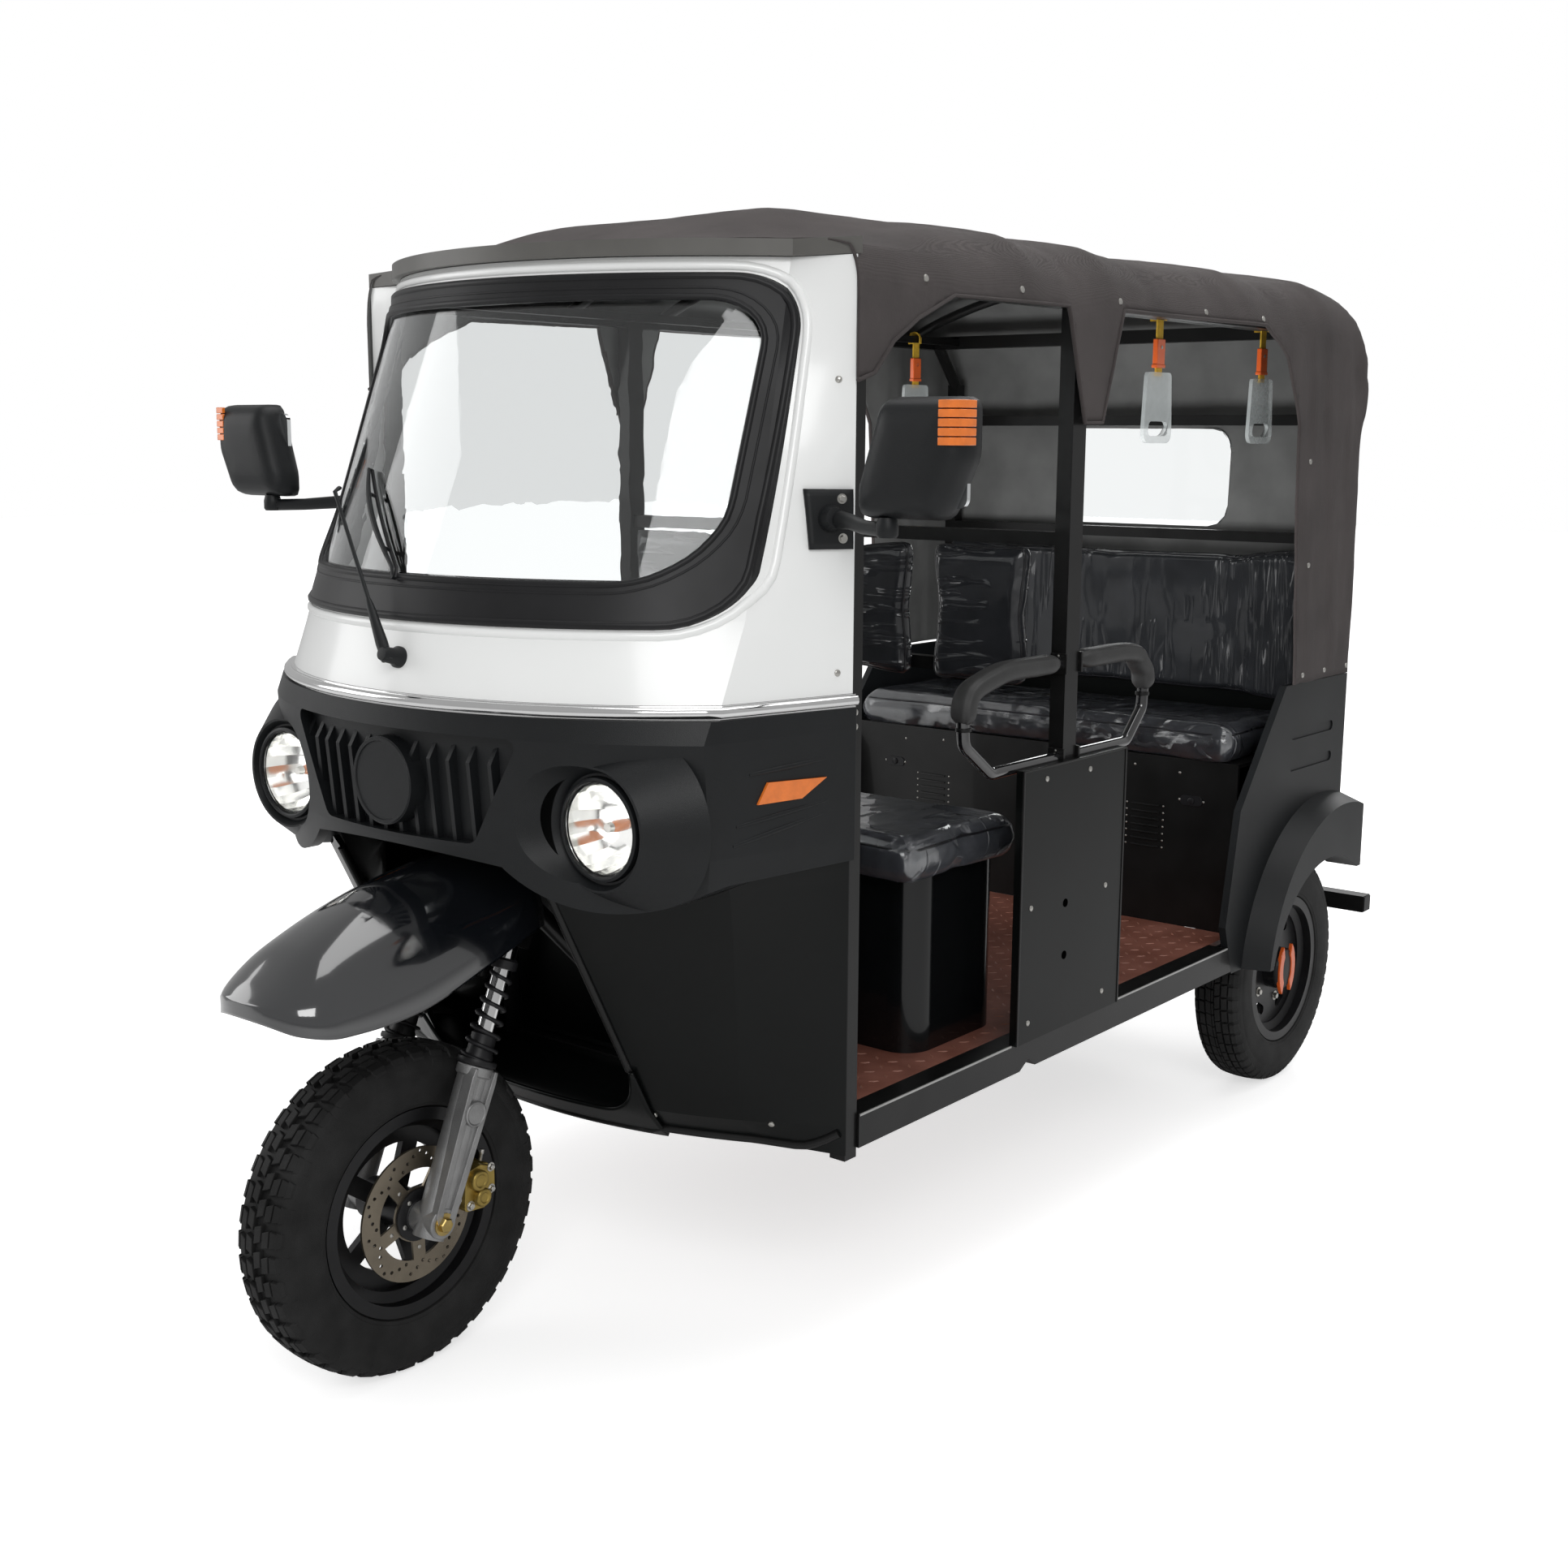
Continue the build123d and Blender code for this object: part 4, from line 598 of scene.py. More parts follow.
def inside(point, outline):
    x, y = point
    hit = False
    for i in range(len(outline)):
        (x1, y1), (x2, y2) = outline[i - 1], outline[i]
        if (y1 > y) != (y2 > y) and x < (x2 - x1) * (y - y1) / (y2 - y1) + x1:
            hit = not hit
    return hit


def cutAlong(sheetMesh, outline, a, b, reach):
    # slices the faces near each run of the outline, so that its edge is clean
    for i in range(len(outline)):
        start, end = outline[i - 1], outline[i]
        low = [min(start[k], end[k]) - reach for k in (0, 1)]
        high = [max(start[k], end[k]) + reach for k in (0, 1)]
        near = [f for f in sheetMesh.faces if all(low[k] < f.calc_center_median()[(a, b)[k]] < high[k]
            for k in (0, 1))]
        if not near:
            continue
        normal, origin = [0, 0, 0], [0, 0, 0]
        normal[a], normal[b] = end[1] - start[1], start[0] - end[0]
        origin[a], origin[b] = start
        parts = list({v for f in near for v in f.verts}) + list({e for f in near for e in f.edges}) + near
        bmesh.ops.bisect_plane(sheetMesh, geom=parts, plane_co=origin, plane_no=normal, dist=1e-5)


def buildCanopy(setup):
    half, hem = setup["half"], setup["hem"]
    side = arcPoints((half, hem), (half - 0.032, setup["shoulder"] - 0.033),
                     (setup["shoulderHalf"], setup["shoulder"]), 8)
    crown = arcPoints(side[-1], (0, setup["top"]), (-setup["shoulderHalf"], setup["shoulder"]), 24)
    section = [(-half, 0.80), (half, 0.80)] + side + crown[1:-1] + [(-x, z) for x, z in side[::-1]]
    back, top = setup["back"], setup["top"] + 0.005
    rise = arcPoints((setup["front"], setup["visorTop"]), (0.6, top - 0.02), (0.96, top), 8)
    drop = arcPoints((back - 0.195, top - 0.004), (back - 0.05, 1.735), (back, 1.48), 10)
    profile = [(back, 0.80), (setup["front"], 0.80)] + rise + drop
    hull = prism("canopyHull", section, frontY + 0.1, frontY + 2.6, "Y")
    slab = prism("canopySlab", [(y + frontY, z) for y, z in profile], -0.8, 0.8, "X")
    cut = hull.modifiers.new("cut", "BOOLEAN")
    cut.operation, cut.object, cut.solver = "INTERSECT", slab, "EXACT"
    remesh = hull.modifiers.new("remesh", "REMESH")
    remesh.mode, remesh.voxel_size = "VOXEL", setup["voxel"]
    soften = hull.modifiers.new("soften", "SMOOTH")
    soften.factor, soften.iterations = 0.5, 4
    mesh = bakedMesh(hull, "canopyCloth")
    for tool in (hull, slab):
        bpy.data.objects.remove(tool)
    cloth = bmesh.new()
    cloth.from_mesh(mesh)
    # open below the foot and at the front
    cloth.normal_update()
    # the front edge follows the arc of the visor, seen from above
    tip, bend, wide = frontY + setup["tip"], setup["tipRadius"], setup["tipHalf"]
    edge = tip + bend - math.sqrt(bend ** 2 - wide ** 2)
    arc = arcPoints((-wide, edge), (0, tip), (wide, edge), 14)
    ahead = [(-0.7, frontY + 0.471)] + arc + [(0.7, frontY + 0.471), (0.7, frontY - 0.3), (-0.7, frontY - 0.3)]
    cutAlong(cloth, ahead, 0, 1, 0.03)
    for v in cloth.verts:
        x, y, z = v.co
        bow = tip + bend - math.sqrt(bend ** 2 - min(abs(x), wide) ** 2)
        behind = min(1.0, max(0.0, (y - bow - max(0.0, abs(x) - wide) * 0.2) / setup["drape"]))
        if z > setup["visorTop"] - 0.012:
            level = setup["visorTop"] - 0.012
            v.co.z = level + (z - level) * (0.25 + 0.75 * behind * behind * (3 - 2 * behind))

    def deleteWhere(test):
        gone = [f for f in cloth.faces if test(f, f.calc_center_median())]
        bmesh.ops.delete(cloth, geom=gone, context="FACES")

    deleteWhere(lambda f, at: at.z < setup["foot"] or inside(at[:2], ahead))
    doors = [(y + frontY, z) for y, z in setup["doors"]]
    cutAlong(cloth, doors, 1, 2, 0.03)
    cloth.normal_update()
    deleteWhere(lambda f, at: inside(at[1:], doors) and (abs(at.x) > 0.3 or f.normal.y < -0.5))
    w, low, high, corner = setup["windowHalf"], setup["windowLow"], setup["windowHigh"], setup["windowCorner"]
    window, margin, rearFace = [], 0.03, frontY + back - 0.03
    right, left, upper, lower = w - corner, corner - w, high - corner, low + corner
    for cx, cz, first in ((right, upper, 0), (left, upper, 90), (left, lower, 180), (right, lower, 270)):
        for turn in (0, 30, 60, 90):
            a = math.radians(first + turn)
            window.append((cx + corner * math.cos(a), cz + corner * math.sin(a)))
    for i in range(len(window)):
        start, end = window[i - 1], window[i]
        near = []
        for f in cloth.faces:
            at = f.calc_center_median()
            if at.y > rearFace and abs(at.x) < w + margin and low - margin < at.z < high + margin:
                near.append(f)
        parts = list({v for f in near for v in f.verts}) + list({e for f in near for e in f.edges}) + near
        across = (end[1] - start[1], 0, start[0] - end[0])
        bmesh.ops.bisect_plane(cloth, geom=parts, plane_co=(start[0], 0, start[1]), plane_no=across, dist=1e-5)
    deleteWhere(lambda f, at: at.y > rearFace and inside((at.x, at.z), window))
    loose = [v for v in cloth.verts if not v.link_faces]
    bmesh.ops.delete(cloth, geom=loose, context="VERTS")
    cloth.normal_update()
    # the cloth stands up over each bow and sags between; the curtains fold
    for v in cloth.verts:
        y, z, x = v.co.y - frontY, v.co.z, v.co.x
        gap = min(abs(y - bow) for bow in setup["bows"])
        lift = 0.004 * math.exp(-(gap / 0.035) ** 2) - setup["sag"] * min(1, gap / 0.13) ** 2
        over = min(1.0, max(0.0, (z - 1.66) / 0.08))
        if y < 0.93:
            lift = 0.004 * math.exp(-(gap / 0.035) ** 2) - 0.003 * min(1, gap / 0.2)
        move = lift * over
        # slanting creases that start at the bows on the shoulders
        crease = noise.noise(Vector((y * 9 + 5 * abs(x), x * 2.0, z * 3.0)))
        move += 0.0035 * crease * over
        curtain = min(1.0, max(0.0, (y - 1.75) / 0.15)) * min(1.0, max(0.0, (1.72 - z) / 0.1))
        fold = noise.noise(Vector((y * 16 + z * 2.5, x * 9, z * 1.6 + 7)))
        fine = noise.noise(Vector((y * 40, x * 24, z * 7)))
        move += curtain * (0.008 * fold + 0.0025 * fine)
        move += 0.0008 * noise.noise(v.co * 30)
        v.co += v.normal * move
    cloth.to_mesh(mesh)
    cloth.free()
    piece = newPiece("canopyCloth", mesh, "canopyCloth", "chassis", sharpAngle=80)
    mesh.materials.append(finish["innerSkin"])
    addWall(piece, setup["thickness"]).material_offset = 1
    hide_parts("canopy")
    area = sum(p.area for p in mesh.polygons)
    print("canopy area", round(area, 3), "faces", len(mesh.polygons))
    return piece, area


canopyPiece, canopyArea = buildCanopy(canopySetup)
print("canopy ready")


# plan of the nose at the belt line, measured behind the front axle
nosePlan = {"middle": 0.014, "radius": 0.680, "half": 0.490, "flankHalf": 0.55, "flankEnd": 0.4597}


def nosePath(out, height, count=30):
    # points along the nose's plan, from the right post round to the left one
    middle, radius, half = nosePlan["middle"], nosePlan["radius"] + out, nosePlan["half"]
    half = half * radius / (radius - out)
    front, reach = middle - out, math.asin(half / radius)
    turns = [reach * (k / count * 2 - 1) for k in range(count + 1)]
    arc = [(radius * math.sin(a), front + radius - radius * math.cos(a)) for a in turns]
    flank, end = nosePlan["flankHalf"] + out, nosePlan["flankEnd"]
    return [(x, frontY + y, height) for x, y in [(-flank, end), *arc, (flank, end)]]


screenSetup = {
    # low and high edge, half width at each, corner rounding at each
    "seal": (1.190, 1.702, 0.487, 0.472, 0.080, 0.090), "glass": (1.256, 1.662, 0.447, 0.432, 0.110, 0.070),
    "edgeBead": 0.0085, "outerLip": 0.0065, "innerLip": 0.0055,
}


def screenOutline(setup, kind, grow):
    # the seal's or the glass's outline seen from the front, larger by a distance
    low, high, halfLow, halfHigh, cornerLow, cornerHigh = setup[kind]
    under, over = halfLow + grow, halfHigh + grow
    corners = [(-under, low - grow), (under, low - grow), (over, high + grow), (-over, high + grow)]
    outline = filletOutline(corners, (cornerLow + grow,) * 2 + (cornerHigh + grow,) * 2, 8)
    return evenPoints(outline, 150)


def buildScreenTrim(setup):
    panel, seal = skinOf("front_panel"), skinOf("windscreen_seal")
    b = bmesh.new()
    path = []
    for x, z in screenOutline(setup, "seal", 0.010):
        place, normal = fromFront(panel, x, z)
        path.append(place - normal * 0.0035)
    addTube(b, path, setup["edgeBead"], 10, closed=True)
    makePiece("panelEdge", b, "bodyWhite", sharpAngle=80)
    b = bmesh.new()
    lips = (
        ("seal", -0.0055, setup["outerLip"], 0.003), ("glass", 0.0045, setup["innerLip"], 0.0025),
        ("glass", 0.017, 0.0022, 0.0008),
    )
    for kind, grow, radius, sink in lips:
        path = []
        for x, z in screenOutline(setup, kind, grow):
            place, normal = fromFront(seal, x, z)
            path.append(place - normal * sink)
        addTube(b, path, radius, 8, closed=True)
    makePiece("sealLips", b, "sealRubber", sharpAngle=80)


buildScreenTrim(screenSetup)

trimSetup = {
    "beadRadius": 0.0085, "beadHeight": 1.0735,
    # (behind the front axle, height) on the left flank, and how big
    "flankScrews": ((0.443, 1.547), (0.431, 1.116)), "postScrews": ((0.474, 1.052), (0.474, 1.030)),
    "shieldScrews": ((0.2538, 0.3798), (0.4411, 0.3888)), "screw": 0.0055,
    "flutes": (((0.262, 0.980), (0.400, 0.990)), ((0.24, 0.905), (0.405, 0.926)),
               ((0.235, 0.877), (0.397, 0.907))),
}


def buildNoseTrim(setup):
    b = bmesh.new()
    addTube(b, nosePath(0.0062, setup["beadHeight"]), setup["beadRadius"], 10)
    makePiece("beltBead", b, "chrome", sharpAngle=70)
    skins = ("front_panel", "nose_cowl", "leg_shields", "cab_frame")
    panel, cowl, shields, posts = (skinOf(nodeName) for nodeName in skins)
    screws, flutes = newMeshes(2)
    for side in (-1, 1):
        for skin, places in ((panel, setup["flankScrews"]), (posts, setup["postScrews"])):
            for y, z in places:
                place, normal = fromSide(skin, side, y, z)
                addBolt(screws, place, normal, setup["screw"], 0.0035, 12)
        for x, z in setup["shieldScrews"]:
            place, normal = fromFront(shields, side * x, z)
            addBolt(screws, place, normal, setup["screw"], 0.0035, 12)
        for (y0, z0), (y1, z1) in setup["flutes"]:
            path, sizes = [], []
            for k in range(13):
                t = k / 12
                place, normal = lands(cowl, (side * 2, frontY + y0 + (y1 - y0) * t, z0 + (z1 - z0) * t),
                                      (-side, 0, 0))
                path.append(place - normal * 0.0015)
                sizes.append(0.0045 * (0.35 + 0.65 * math.sin(math.pi * min(1, 0.12 + t * 0.85))))
            addTube(flutes, path, sizes, 8)
    makePiece("noseScrews", screws, "boltSteel")
    makePiece("cowlFlutes", flutes, "noseBlack", sharpAngle=80)


buildNoseTrim(trimSetup)
print("screen seal and nose trim ready")

lampSetup = {
    "x": 0.365, "front": 0.098, "height": 0.904, "radius": 0.0665, "bezel": 0.0775, "depth": 0.078,
    "facets": 24,
    "bulb": 0.0085, "backRadius": 0.024, "wall": 0.0025,
}


def buildHeadlamps(setup):
    bowl, bulbs, rims, bases = newMeshes(4)
    for side in (-1, 1):
        middle = (side * setup["x"], frontY + setup["front"], setup["height"])
        depth, r, back, wall = setup["depth"], setup["radius"], setup["backRadius"], setup["wall"]
        inner = [(back + (r - back) * (1 - (1 - t) ** 1.9) ** 0.62, depth - (depth - 0.010) * t)
                 for t in [k / 9 for k in range(10)]]
        outer = [(radius + wall, along + wall) for radius, along in inner]
        addLathe(bowl, [(0, depth + 0.001), (0.012, depth + 0.001), *inner, *outer[::-1],
                        (0.012, depth + wall + 0.001), (0, depth + wall + 0.001)], middle, (0, 1, 0),
                        setup["facets"])
        # bulb on its base, with a small cap ahead of it
        addLathe(bulbs, [(0, 0.026), (0.005, 0.028), (setup["bulb"], 0.035), (setup["bulb"], 0.051),
                         (0.006, 0.056), (0, 0.056)], middle, (0, 1, 0), 14)
        addLathe(bases, [(0, 0.054), (0.0075, 0.055), (0.0085, 0.078), (0, 0.078)], middle, (0, 1, 0), 14)
        addLathe(bases, [(0, 0.0215), (0.0065, 0.0225), (0.0075, 0.029), (0, 0.030)], middle, (0, 1, 0), 14)
        # dark bezel round the bowl's mouth, with a thin bright lip inside it
        ring = [(setup["bezel"], 0.009), (setup["bezel"] - 0.001, -0.001), (setup["bezel"] - 0.005, -0.0028),
                (r + 0.0035, -0.0012), (r + 0.0028, 0.006), (r + 0.0035, 0.012),
                (setup["bezel"] - 0.002, 0.020)]
        addLathe(rims, ring, middle, (0, 1, 0), 56, closed=True)
    makePiece("lampBowls", bowl, "reflector", sharpAngle=12, node="headlamps")
    makePiece("lampBulbs", bulbs, "bulbOrange")
    makePiece("lampBases", bases, "boltSteel")
    makePiece("lampRims", rims, "noseBlack", node="headlamps")


buildHeadlamps(lampSetup)

grilleSetup = {"discRadius": 0.068, "discHeight": 0.947, "discFront": 0.004, "ringWidth": 0.007}


def buildGrilleDisc(setup):
    b = bmesh.new()
    r, rim, front = setup["discRadius"], setup["ringWidth"], setup["discFront"]
    middle = (0, frontY + front, setup["discHeight"])
    addLathe(b, [(r - 0.0002, 0.020), (r - 0.0002, 0.0005), (r - 0.0025, -0.0018), (r - rim, -0.0018),
                 (r - rim - 0.0015, 0.0012), (r - rim - 0.002, 0.003), (r - rim - 0.002, 0.020)], middle,
                 (0, 1, 0), 56, closed=True)
    makePiece("grilleDiscRing", b, "noseBlack")


buildGrilleDisc(grilleSetup)
print("lamps and grille disc ready")

fenderSetup = {
    # (behind the front axle, half width, lip's lower edge, crown)
    "rows": ((-0.262, 0.090, 0.634, 0.664), (-0.235, 0.110, 0.619, 0.688), (-0.170, 0.1215, 0.609, 0.735),
             (-0.040, 0.1295, 0.618, 0.785), (0.090, 0.1305, 0.658, 0.811), (0.212, 0.1305, 0.702, 0.829)),
    "noseStart": -0.170, "noseHalf": 0.1215, "nosePower": 2.2,
    "lip": 0.026, "wall": 0.004, "ribHalf": 0.034, "ribHeight": 0.005, "ribStart": -0.055,
    "rake": 23, "foot": 0.655,
}


def curveThrough(rows, t):
    # Catmull-Rom through rows of numbers; t runs over the first column
    i = max(0, min(len(rows) - 2, next((k for k in range(len(rows) - 1) if t <= rows[k + 1][0]),
                                       len(rows) - 2)))
    a, c = rows[i], rows[i + 1]
    before, after = rows[max(0, i - 1)], rows[min(len(rows) - 1, i + 2)]
    span = c[0] - a[0]
    u = (t - a[0]) / span
    result = []
    for k in range(1, len(a)):
        slopeA = (c[k] - before[k]) / (c[0] - before[0]) * span if i > 0 else (c[k] - a[k])
        slopeC = (after[k] - a[k]) / (after[0] - a[0]) * span
        ends = (2 * u**3 - 3 * u**2 + 1) * a[k] + (u**3 - 2 * u**2 + u) * slopeA + (3 * u**2 - 2 * u**3) * c[k]
        result.append(ends + (u**3 - u**2) * slopeC)
    return result


def buildFender(setup):
    b = bmesh.new()
    rows, lip = setup["rows"], setup["lip"]
    first, last = rows[0][0], rows[-1][0]
    sheet = []
    steps, spread = 48, 20
    for i in range(steps + 1):
        y = first + (last - first) * (i / steps) ** 1.9
        half, edge, crown = curveThrough(rows, y)
        # the plan closes in a broad round nose
        ahead = (setup["noseStart"] - y) / (setup["noseStart"] - first)
        if ahead > 0:
            half = 0.004 + (setup["noseHalf"] - 0.004) * max(0.0,
                1 - ahead ** setup["nosePower"]) ** (1 / setup["nosePower"])
        drop = min(lip, (crown - edge) * 0.7)
        ring = [(-half - 0.001, edge), (-half - 0.0005, edge + 0.004), (-half, edge + min(0.010, drop * 0.6))]
        rib = min(1, max(0, (y - setup["ribStart"]) / 0.03)) * setup["ribHeight"]
        for k in range(spread + 1):
            u = k / spread * 2 - 1
            u = math.copysign(abs(u) ** 0.8, u)
            x = half * u
            rise = (1 - abs(u) ** 2.6) ** 0.72
            top = rib * min(1, max(0, (setup["ribHalf"] - abs(x)) / 0.006 + 0.5))
            ring.append((x, edge + drop + (crown - edge - drop - 0.002 - setup["ribHeight"]) * rise + top))
        ring += [(-x, z) for x, z in ring[2::-1]]
        sheet.append([b.verts.new((x, frontY + y, z)) for x, z in ring])
    for near, far in zip(sheet, sheet[1:]):
        bridge(b, near, far, closed=False)
    b.faces.new(sheet[0])
    piece = makePiece("fenderShell", b, "fenderBlack", "steering", sharpAngle=60, node="front_fender")
    addWall(piece, setup["wall"])
    # foot that stands on the yoke
    b = bmesh.new()
    rake = math.radians(setup["rake"])
    lean, foot = Vector((0, math.sin(rake), math.cos(rake))), setup["foot"]
    base = Vector((0, frontY + 0.040 / math.cos(rake) + (foot - axleZ) * math.tan(rake), foot)) + lean * 0.0265
    ahead = Vector((1, 0, 0)).cross(lean)
    tilt = Matrix(((1, 0, 0), tuple(-ahead), tuple(lean))).transposed()
    addBox(b, base + ahead * 0.054 + lean * 0.058, (0.088, 0.019, 0.116), tilt)
    makePiece("fenderFoot", b, "steelDark", "steering", bevel=0.002)


buildFender(fenderSetup)
print("front fender ready")


tyreSetup = {
    "radius": 0.265,
    # half section of the casing: (half width, radius), bead to crown
    "casing": (
        (0.0432, 0.1527), (0.0432, 0.1692), (0.0508, 0.1712), (0.0525, 0.1765), (0.0533, 0.1772),
        (0.0535, 0.1800), (0.0548, 0.1860), (0.0556, 0.2000), (0.0558, 0.2130), (0.0552, 0.2260),
        (0.0545, 0.2275), (0.0546, 0.2300), (0.0530, 0.2400), (0.0495, 0.2490), (0.0440, 0.2540),
        (0.0300, 0.2566), (0.0, 0.2575),
    ),
    "tread": 11,   # the casing's row where the tread blocks start
    # tread blocks: across from, to, then the four corners' angles as shares of the pitch
    "lug": {"pitches": 42, "blocks": ((0.002, 0.0165, -0.36, -0.20, 0.42, 0.28),
                                      (0.0195, 0.0325, -0.44, -0.34, 0.30, 0.16)),
            "shoulder": (-0.36, -0.30, 0.24, 0.30), "shoulderFrom": 0.0355, "reaches": (0.0505, 0.0538)},
    "road": {"pitches": 54, "blocks": ((0.0045, 0.0165, -0.47, -0.35, 0.56, 0.44),
                                       (0.0205, 0.0330, -0.46, -0.40, 0.46, 0.40)),
             "shoulder": (-0.40, -0.34, 0.30, 0.36), "shoulderFrom": 0.0370, "reaches": (0.0520, 0.0520)},
    "shoulderStep": (0.0455, 0.0450), "rib": 0.0025, "ribAngles": (-0.46, -0.42, 0.46, 0.42),
}


def crownRadius(setup, t):
    t = abs(t)
    if t < 0.042:
        return setup["radius"] - 0.004 * (t / 0.042) ** 2
    if t < 0.050:
        return 0.261 - (t - 0.042) / 0.008 * 0.009
    return 0.252 - (t - 0.050) / 0.005 * 0.016


def casingRadius(setup, t):
    t = abs(t)
    rows = setup["casing"][setup["tread"]:]
    for (w0, r0), (w1, r1) in zip(rows, rows[1:]):
        if w1 <= t <= w0:
            return r0 + (r1 - r0) * (w0 - t) / (w0 - w1)
    return rows[0][1]


def addLug(b, setup, middle, corners, taper=0.9):
    # a tread block: its corners as (across the tread, angle), from the casing up to the crown
    count = len(corners)
    ct, ca = sum(c[0] for c in corners) / count, sum(c[1] for c in corners) / count
    rings = []
    for grow, up in ((1.06, -1), (1.0, 0.9), (taper, 1.0)):
        ring = []
        for t, a in corners:
            t, a = ct + (t - ct) * grow, ca + (a - ca) * grow
            low, high = casingRadius(setup, t) - 0.0005, crownRadius(setup, t)
            r = low if up < 0 else low + (high - low) * up
            ring.append(b.verts.new((middle[0] + t, middle[1] + r * math.sin(a), middle[2] + r * math.cos(a))))
        rings.append(ring)
    for near, far in zip(rings, rings[1:]):
        bridge(b, near, far)
    b.faces.new(rings[-1])


def buildTyre(setup, name, node, x, y, body, kind):
    b = bmesh.new()
    middle = (x, y, axleZ)
    half, tread = setup["casing"], setup[kind]
    profile = [(r, -w) for w, r in half] + [(r, w) for w, r in half[-2::-1]]
    addLathe(b, profile, middle, (1, 0, 0), 72, closed=True)
    pitch = 2 * math.pi / tread["pitches"]
    outer, inner = setup["shoulderStep"]
    for i in range(tread["pitches"]):
        a = i * pitch
        blocks = [(*row, 0.9) for row in tread["blocks"]]
        for t0, t1 in ((tread["shoulderFrom"], outer), (inner, tread["reaches"][i % 2])):
            blocks.append((t0, t1, *tread["shoulder"], 0.97))
        for side in (-1, 1):
            shift = a + (pitch * 0.5 if side > 0 else 0)
            for t0, t1, *shares, taper in blocks:
                corners = [(t * side, shift + share * pitch) for t, share in zip((t0, t1, t1, t0), shares)]
                addLug(b, setup, middle, corners, taper)
        if kind == "road":
            rib = setup["rib"]
            across = zip((-rib, rib, rib, -rib), setup["ribAngles"])
            addLug(b, setup, middle, [(t, a + share * pitch) for t, share in across])
    makePiece(name, b, "tyreRubber", body, sharpAngle=28, node=node)


buildTyre(tyreSetup, "frontTread", "front_tyre", 0, frontY, "front_wheel", "lug")
buildTyre(tyreSetup, "rearTreadLeft", "rear_tyre_left", 0.453, rearY, "rear_wheel_left", "road")
buildTyre(tyreSetup, "rearTreadRight", "rear_tyre_right", -0.453, rearY, "rear_wheel_right", "road")
print("tyres ready")

discSetup = {"x": 0.0523, "wall": 0.004, "outer": 0.108, "inner": 0.074, "arms": 5, "hole": 0.0032,
             "window": 0.044, "screwCircle": 0.0325, "buttonCircle": 0.055, "turn": 0.35}


def buildDisc(setup):
    # drilled ring on five arms, then the hub's flange and screws
    b = bmesh.new()
    steps = 60
    turns = [2 * math.pi * i / steps for i in range(steps)]
    ring = [(setup["outer"] * math.cos(a), setup["outer"] * math.sin(a)) for a in turns]
    middle = Vector((setup["x"], frontY, axleZ))
    addPrism(b, ring, middle, (0, 1, 0), (0, 0, 1), setup["wall"])
    blank = bareObject("discBlank", b)
    b = bmesh.new()
    low = setup["x"] - 0.01
    for arm in range(setup["arms"]):
        turn = 2 * math.pi * arm / setup["arms"] + setup["turn"]
        # window between two arms
        outline = []
        reach = math.pi / setup["arms"] - 0.16
        for k in range(9):
            a = turn - reach + 2 * reach * k / 8
            outline.append((setup["inner"] * math.cos(a), setup["inner"] * math.sin(a)))
        for k in range(9):
            a = turn + (reach - 0.12) * (1 - k / 4)
            outline.append((setup["window"] * math.cos(a), setup["window"] * math.sin(a)))
        addPrism(b, outline, (low, frontY, axleZ), (0, 1, 0), (0, 0, 1), 0.02)
        for k in range(9):
            a = turn + 2 * math.pi / setup["arms"] * (k - 4) / 9
            r = (0.080, 0.088, 0.096, 0.102)[(0, 1, 2, 3, 2, 1, 0, 2, 1)[k]]
            turns, wide = [math.pi * j / 4 for j in range(8)], setup["hole"]
            hole = [(r * math.cos(a) + wide * math.cos(h), r * math.sin(a) + wide * math.sin(h)) for h in turns]
            addPrism(b, hole, (low, frontY, axleZ), (0, 1, 0), (0, 0, 1), 0.02)
    cuts = bareObject("discCuts", b)
    cut = blank.modifiers.new("cut", "BOOLEAN")
    cut.operation, cut.object, cut.solver = "DIFFERENCE", cuts, "EXACT"
    mesh = bakedMesh(blank, "discRing")
    for tool in (blank, cuts):
        bpy.data.objects.remove(tool)
    piece = newPiece("discRing", mesh, "discSteel", "front_wheel", sharpAngle=30)
    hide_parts("brake_disc")
    b = bmesh.new()
    face = setup["x"] + setup["wall"]
    addLathe(b, [(0.042, -0.001), (0.042, 0.0045), (0.039, 0.006), (0.026, 0.006), (0.023, 0.009),
                 (0.014, 0.010), (0.014, -0.001)], (face, frontY, axleZ), (1, 0, 0), 40, closed=True)
    makePiece("hubFlange", b, "sealRubber", "front_wheel")
    b = bmesh.new()
    for k in range(5):
        a = 2 * math.pi * k / 5 + setup["turn"] + math.pi / 5
        for out, r, size in ((0.006, setup["screwCircle"], (0.0042, 0.003)),
                             (0, setup["buttonCircle"], (0.0036, 0.002))):
            addBolt(b, (face + out, frontY + r * math.cos(a), axleZ + r * math.sin(a)), (1, 0, 0), *size, 12)
    makePiece("discScrews", b, "boltSteel", "front_wheel")


buildDisc(discSetup)

forkSetup = {
    "legX": 0.093, "webFoot": 0.262, "top": 0.490, "boss": 0.425, "springTop": 0.640, "springTurns": 7,
    "wire": 0.0034,
    "springLow": 0.030, "springHigh": 0.0185, "rake": 23,
}


def forkPoint(side, height, out=0.0, ahead=0.0):
    # a point on a fork leg at a height, moved outwards and square to the leg towards the front
    rake = math.radians(forkSetup["rake"])
    base = Vector((side * (forkSetup["legX"] + out), frontY + (height - axleZ) * math.tan(rake), height))
    return base + Vector((0, -math.cos(rake), math.sin(rake))) * ahead


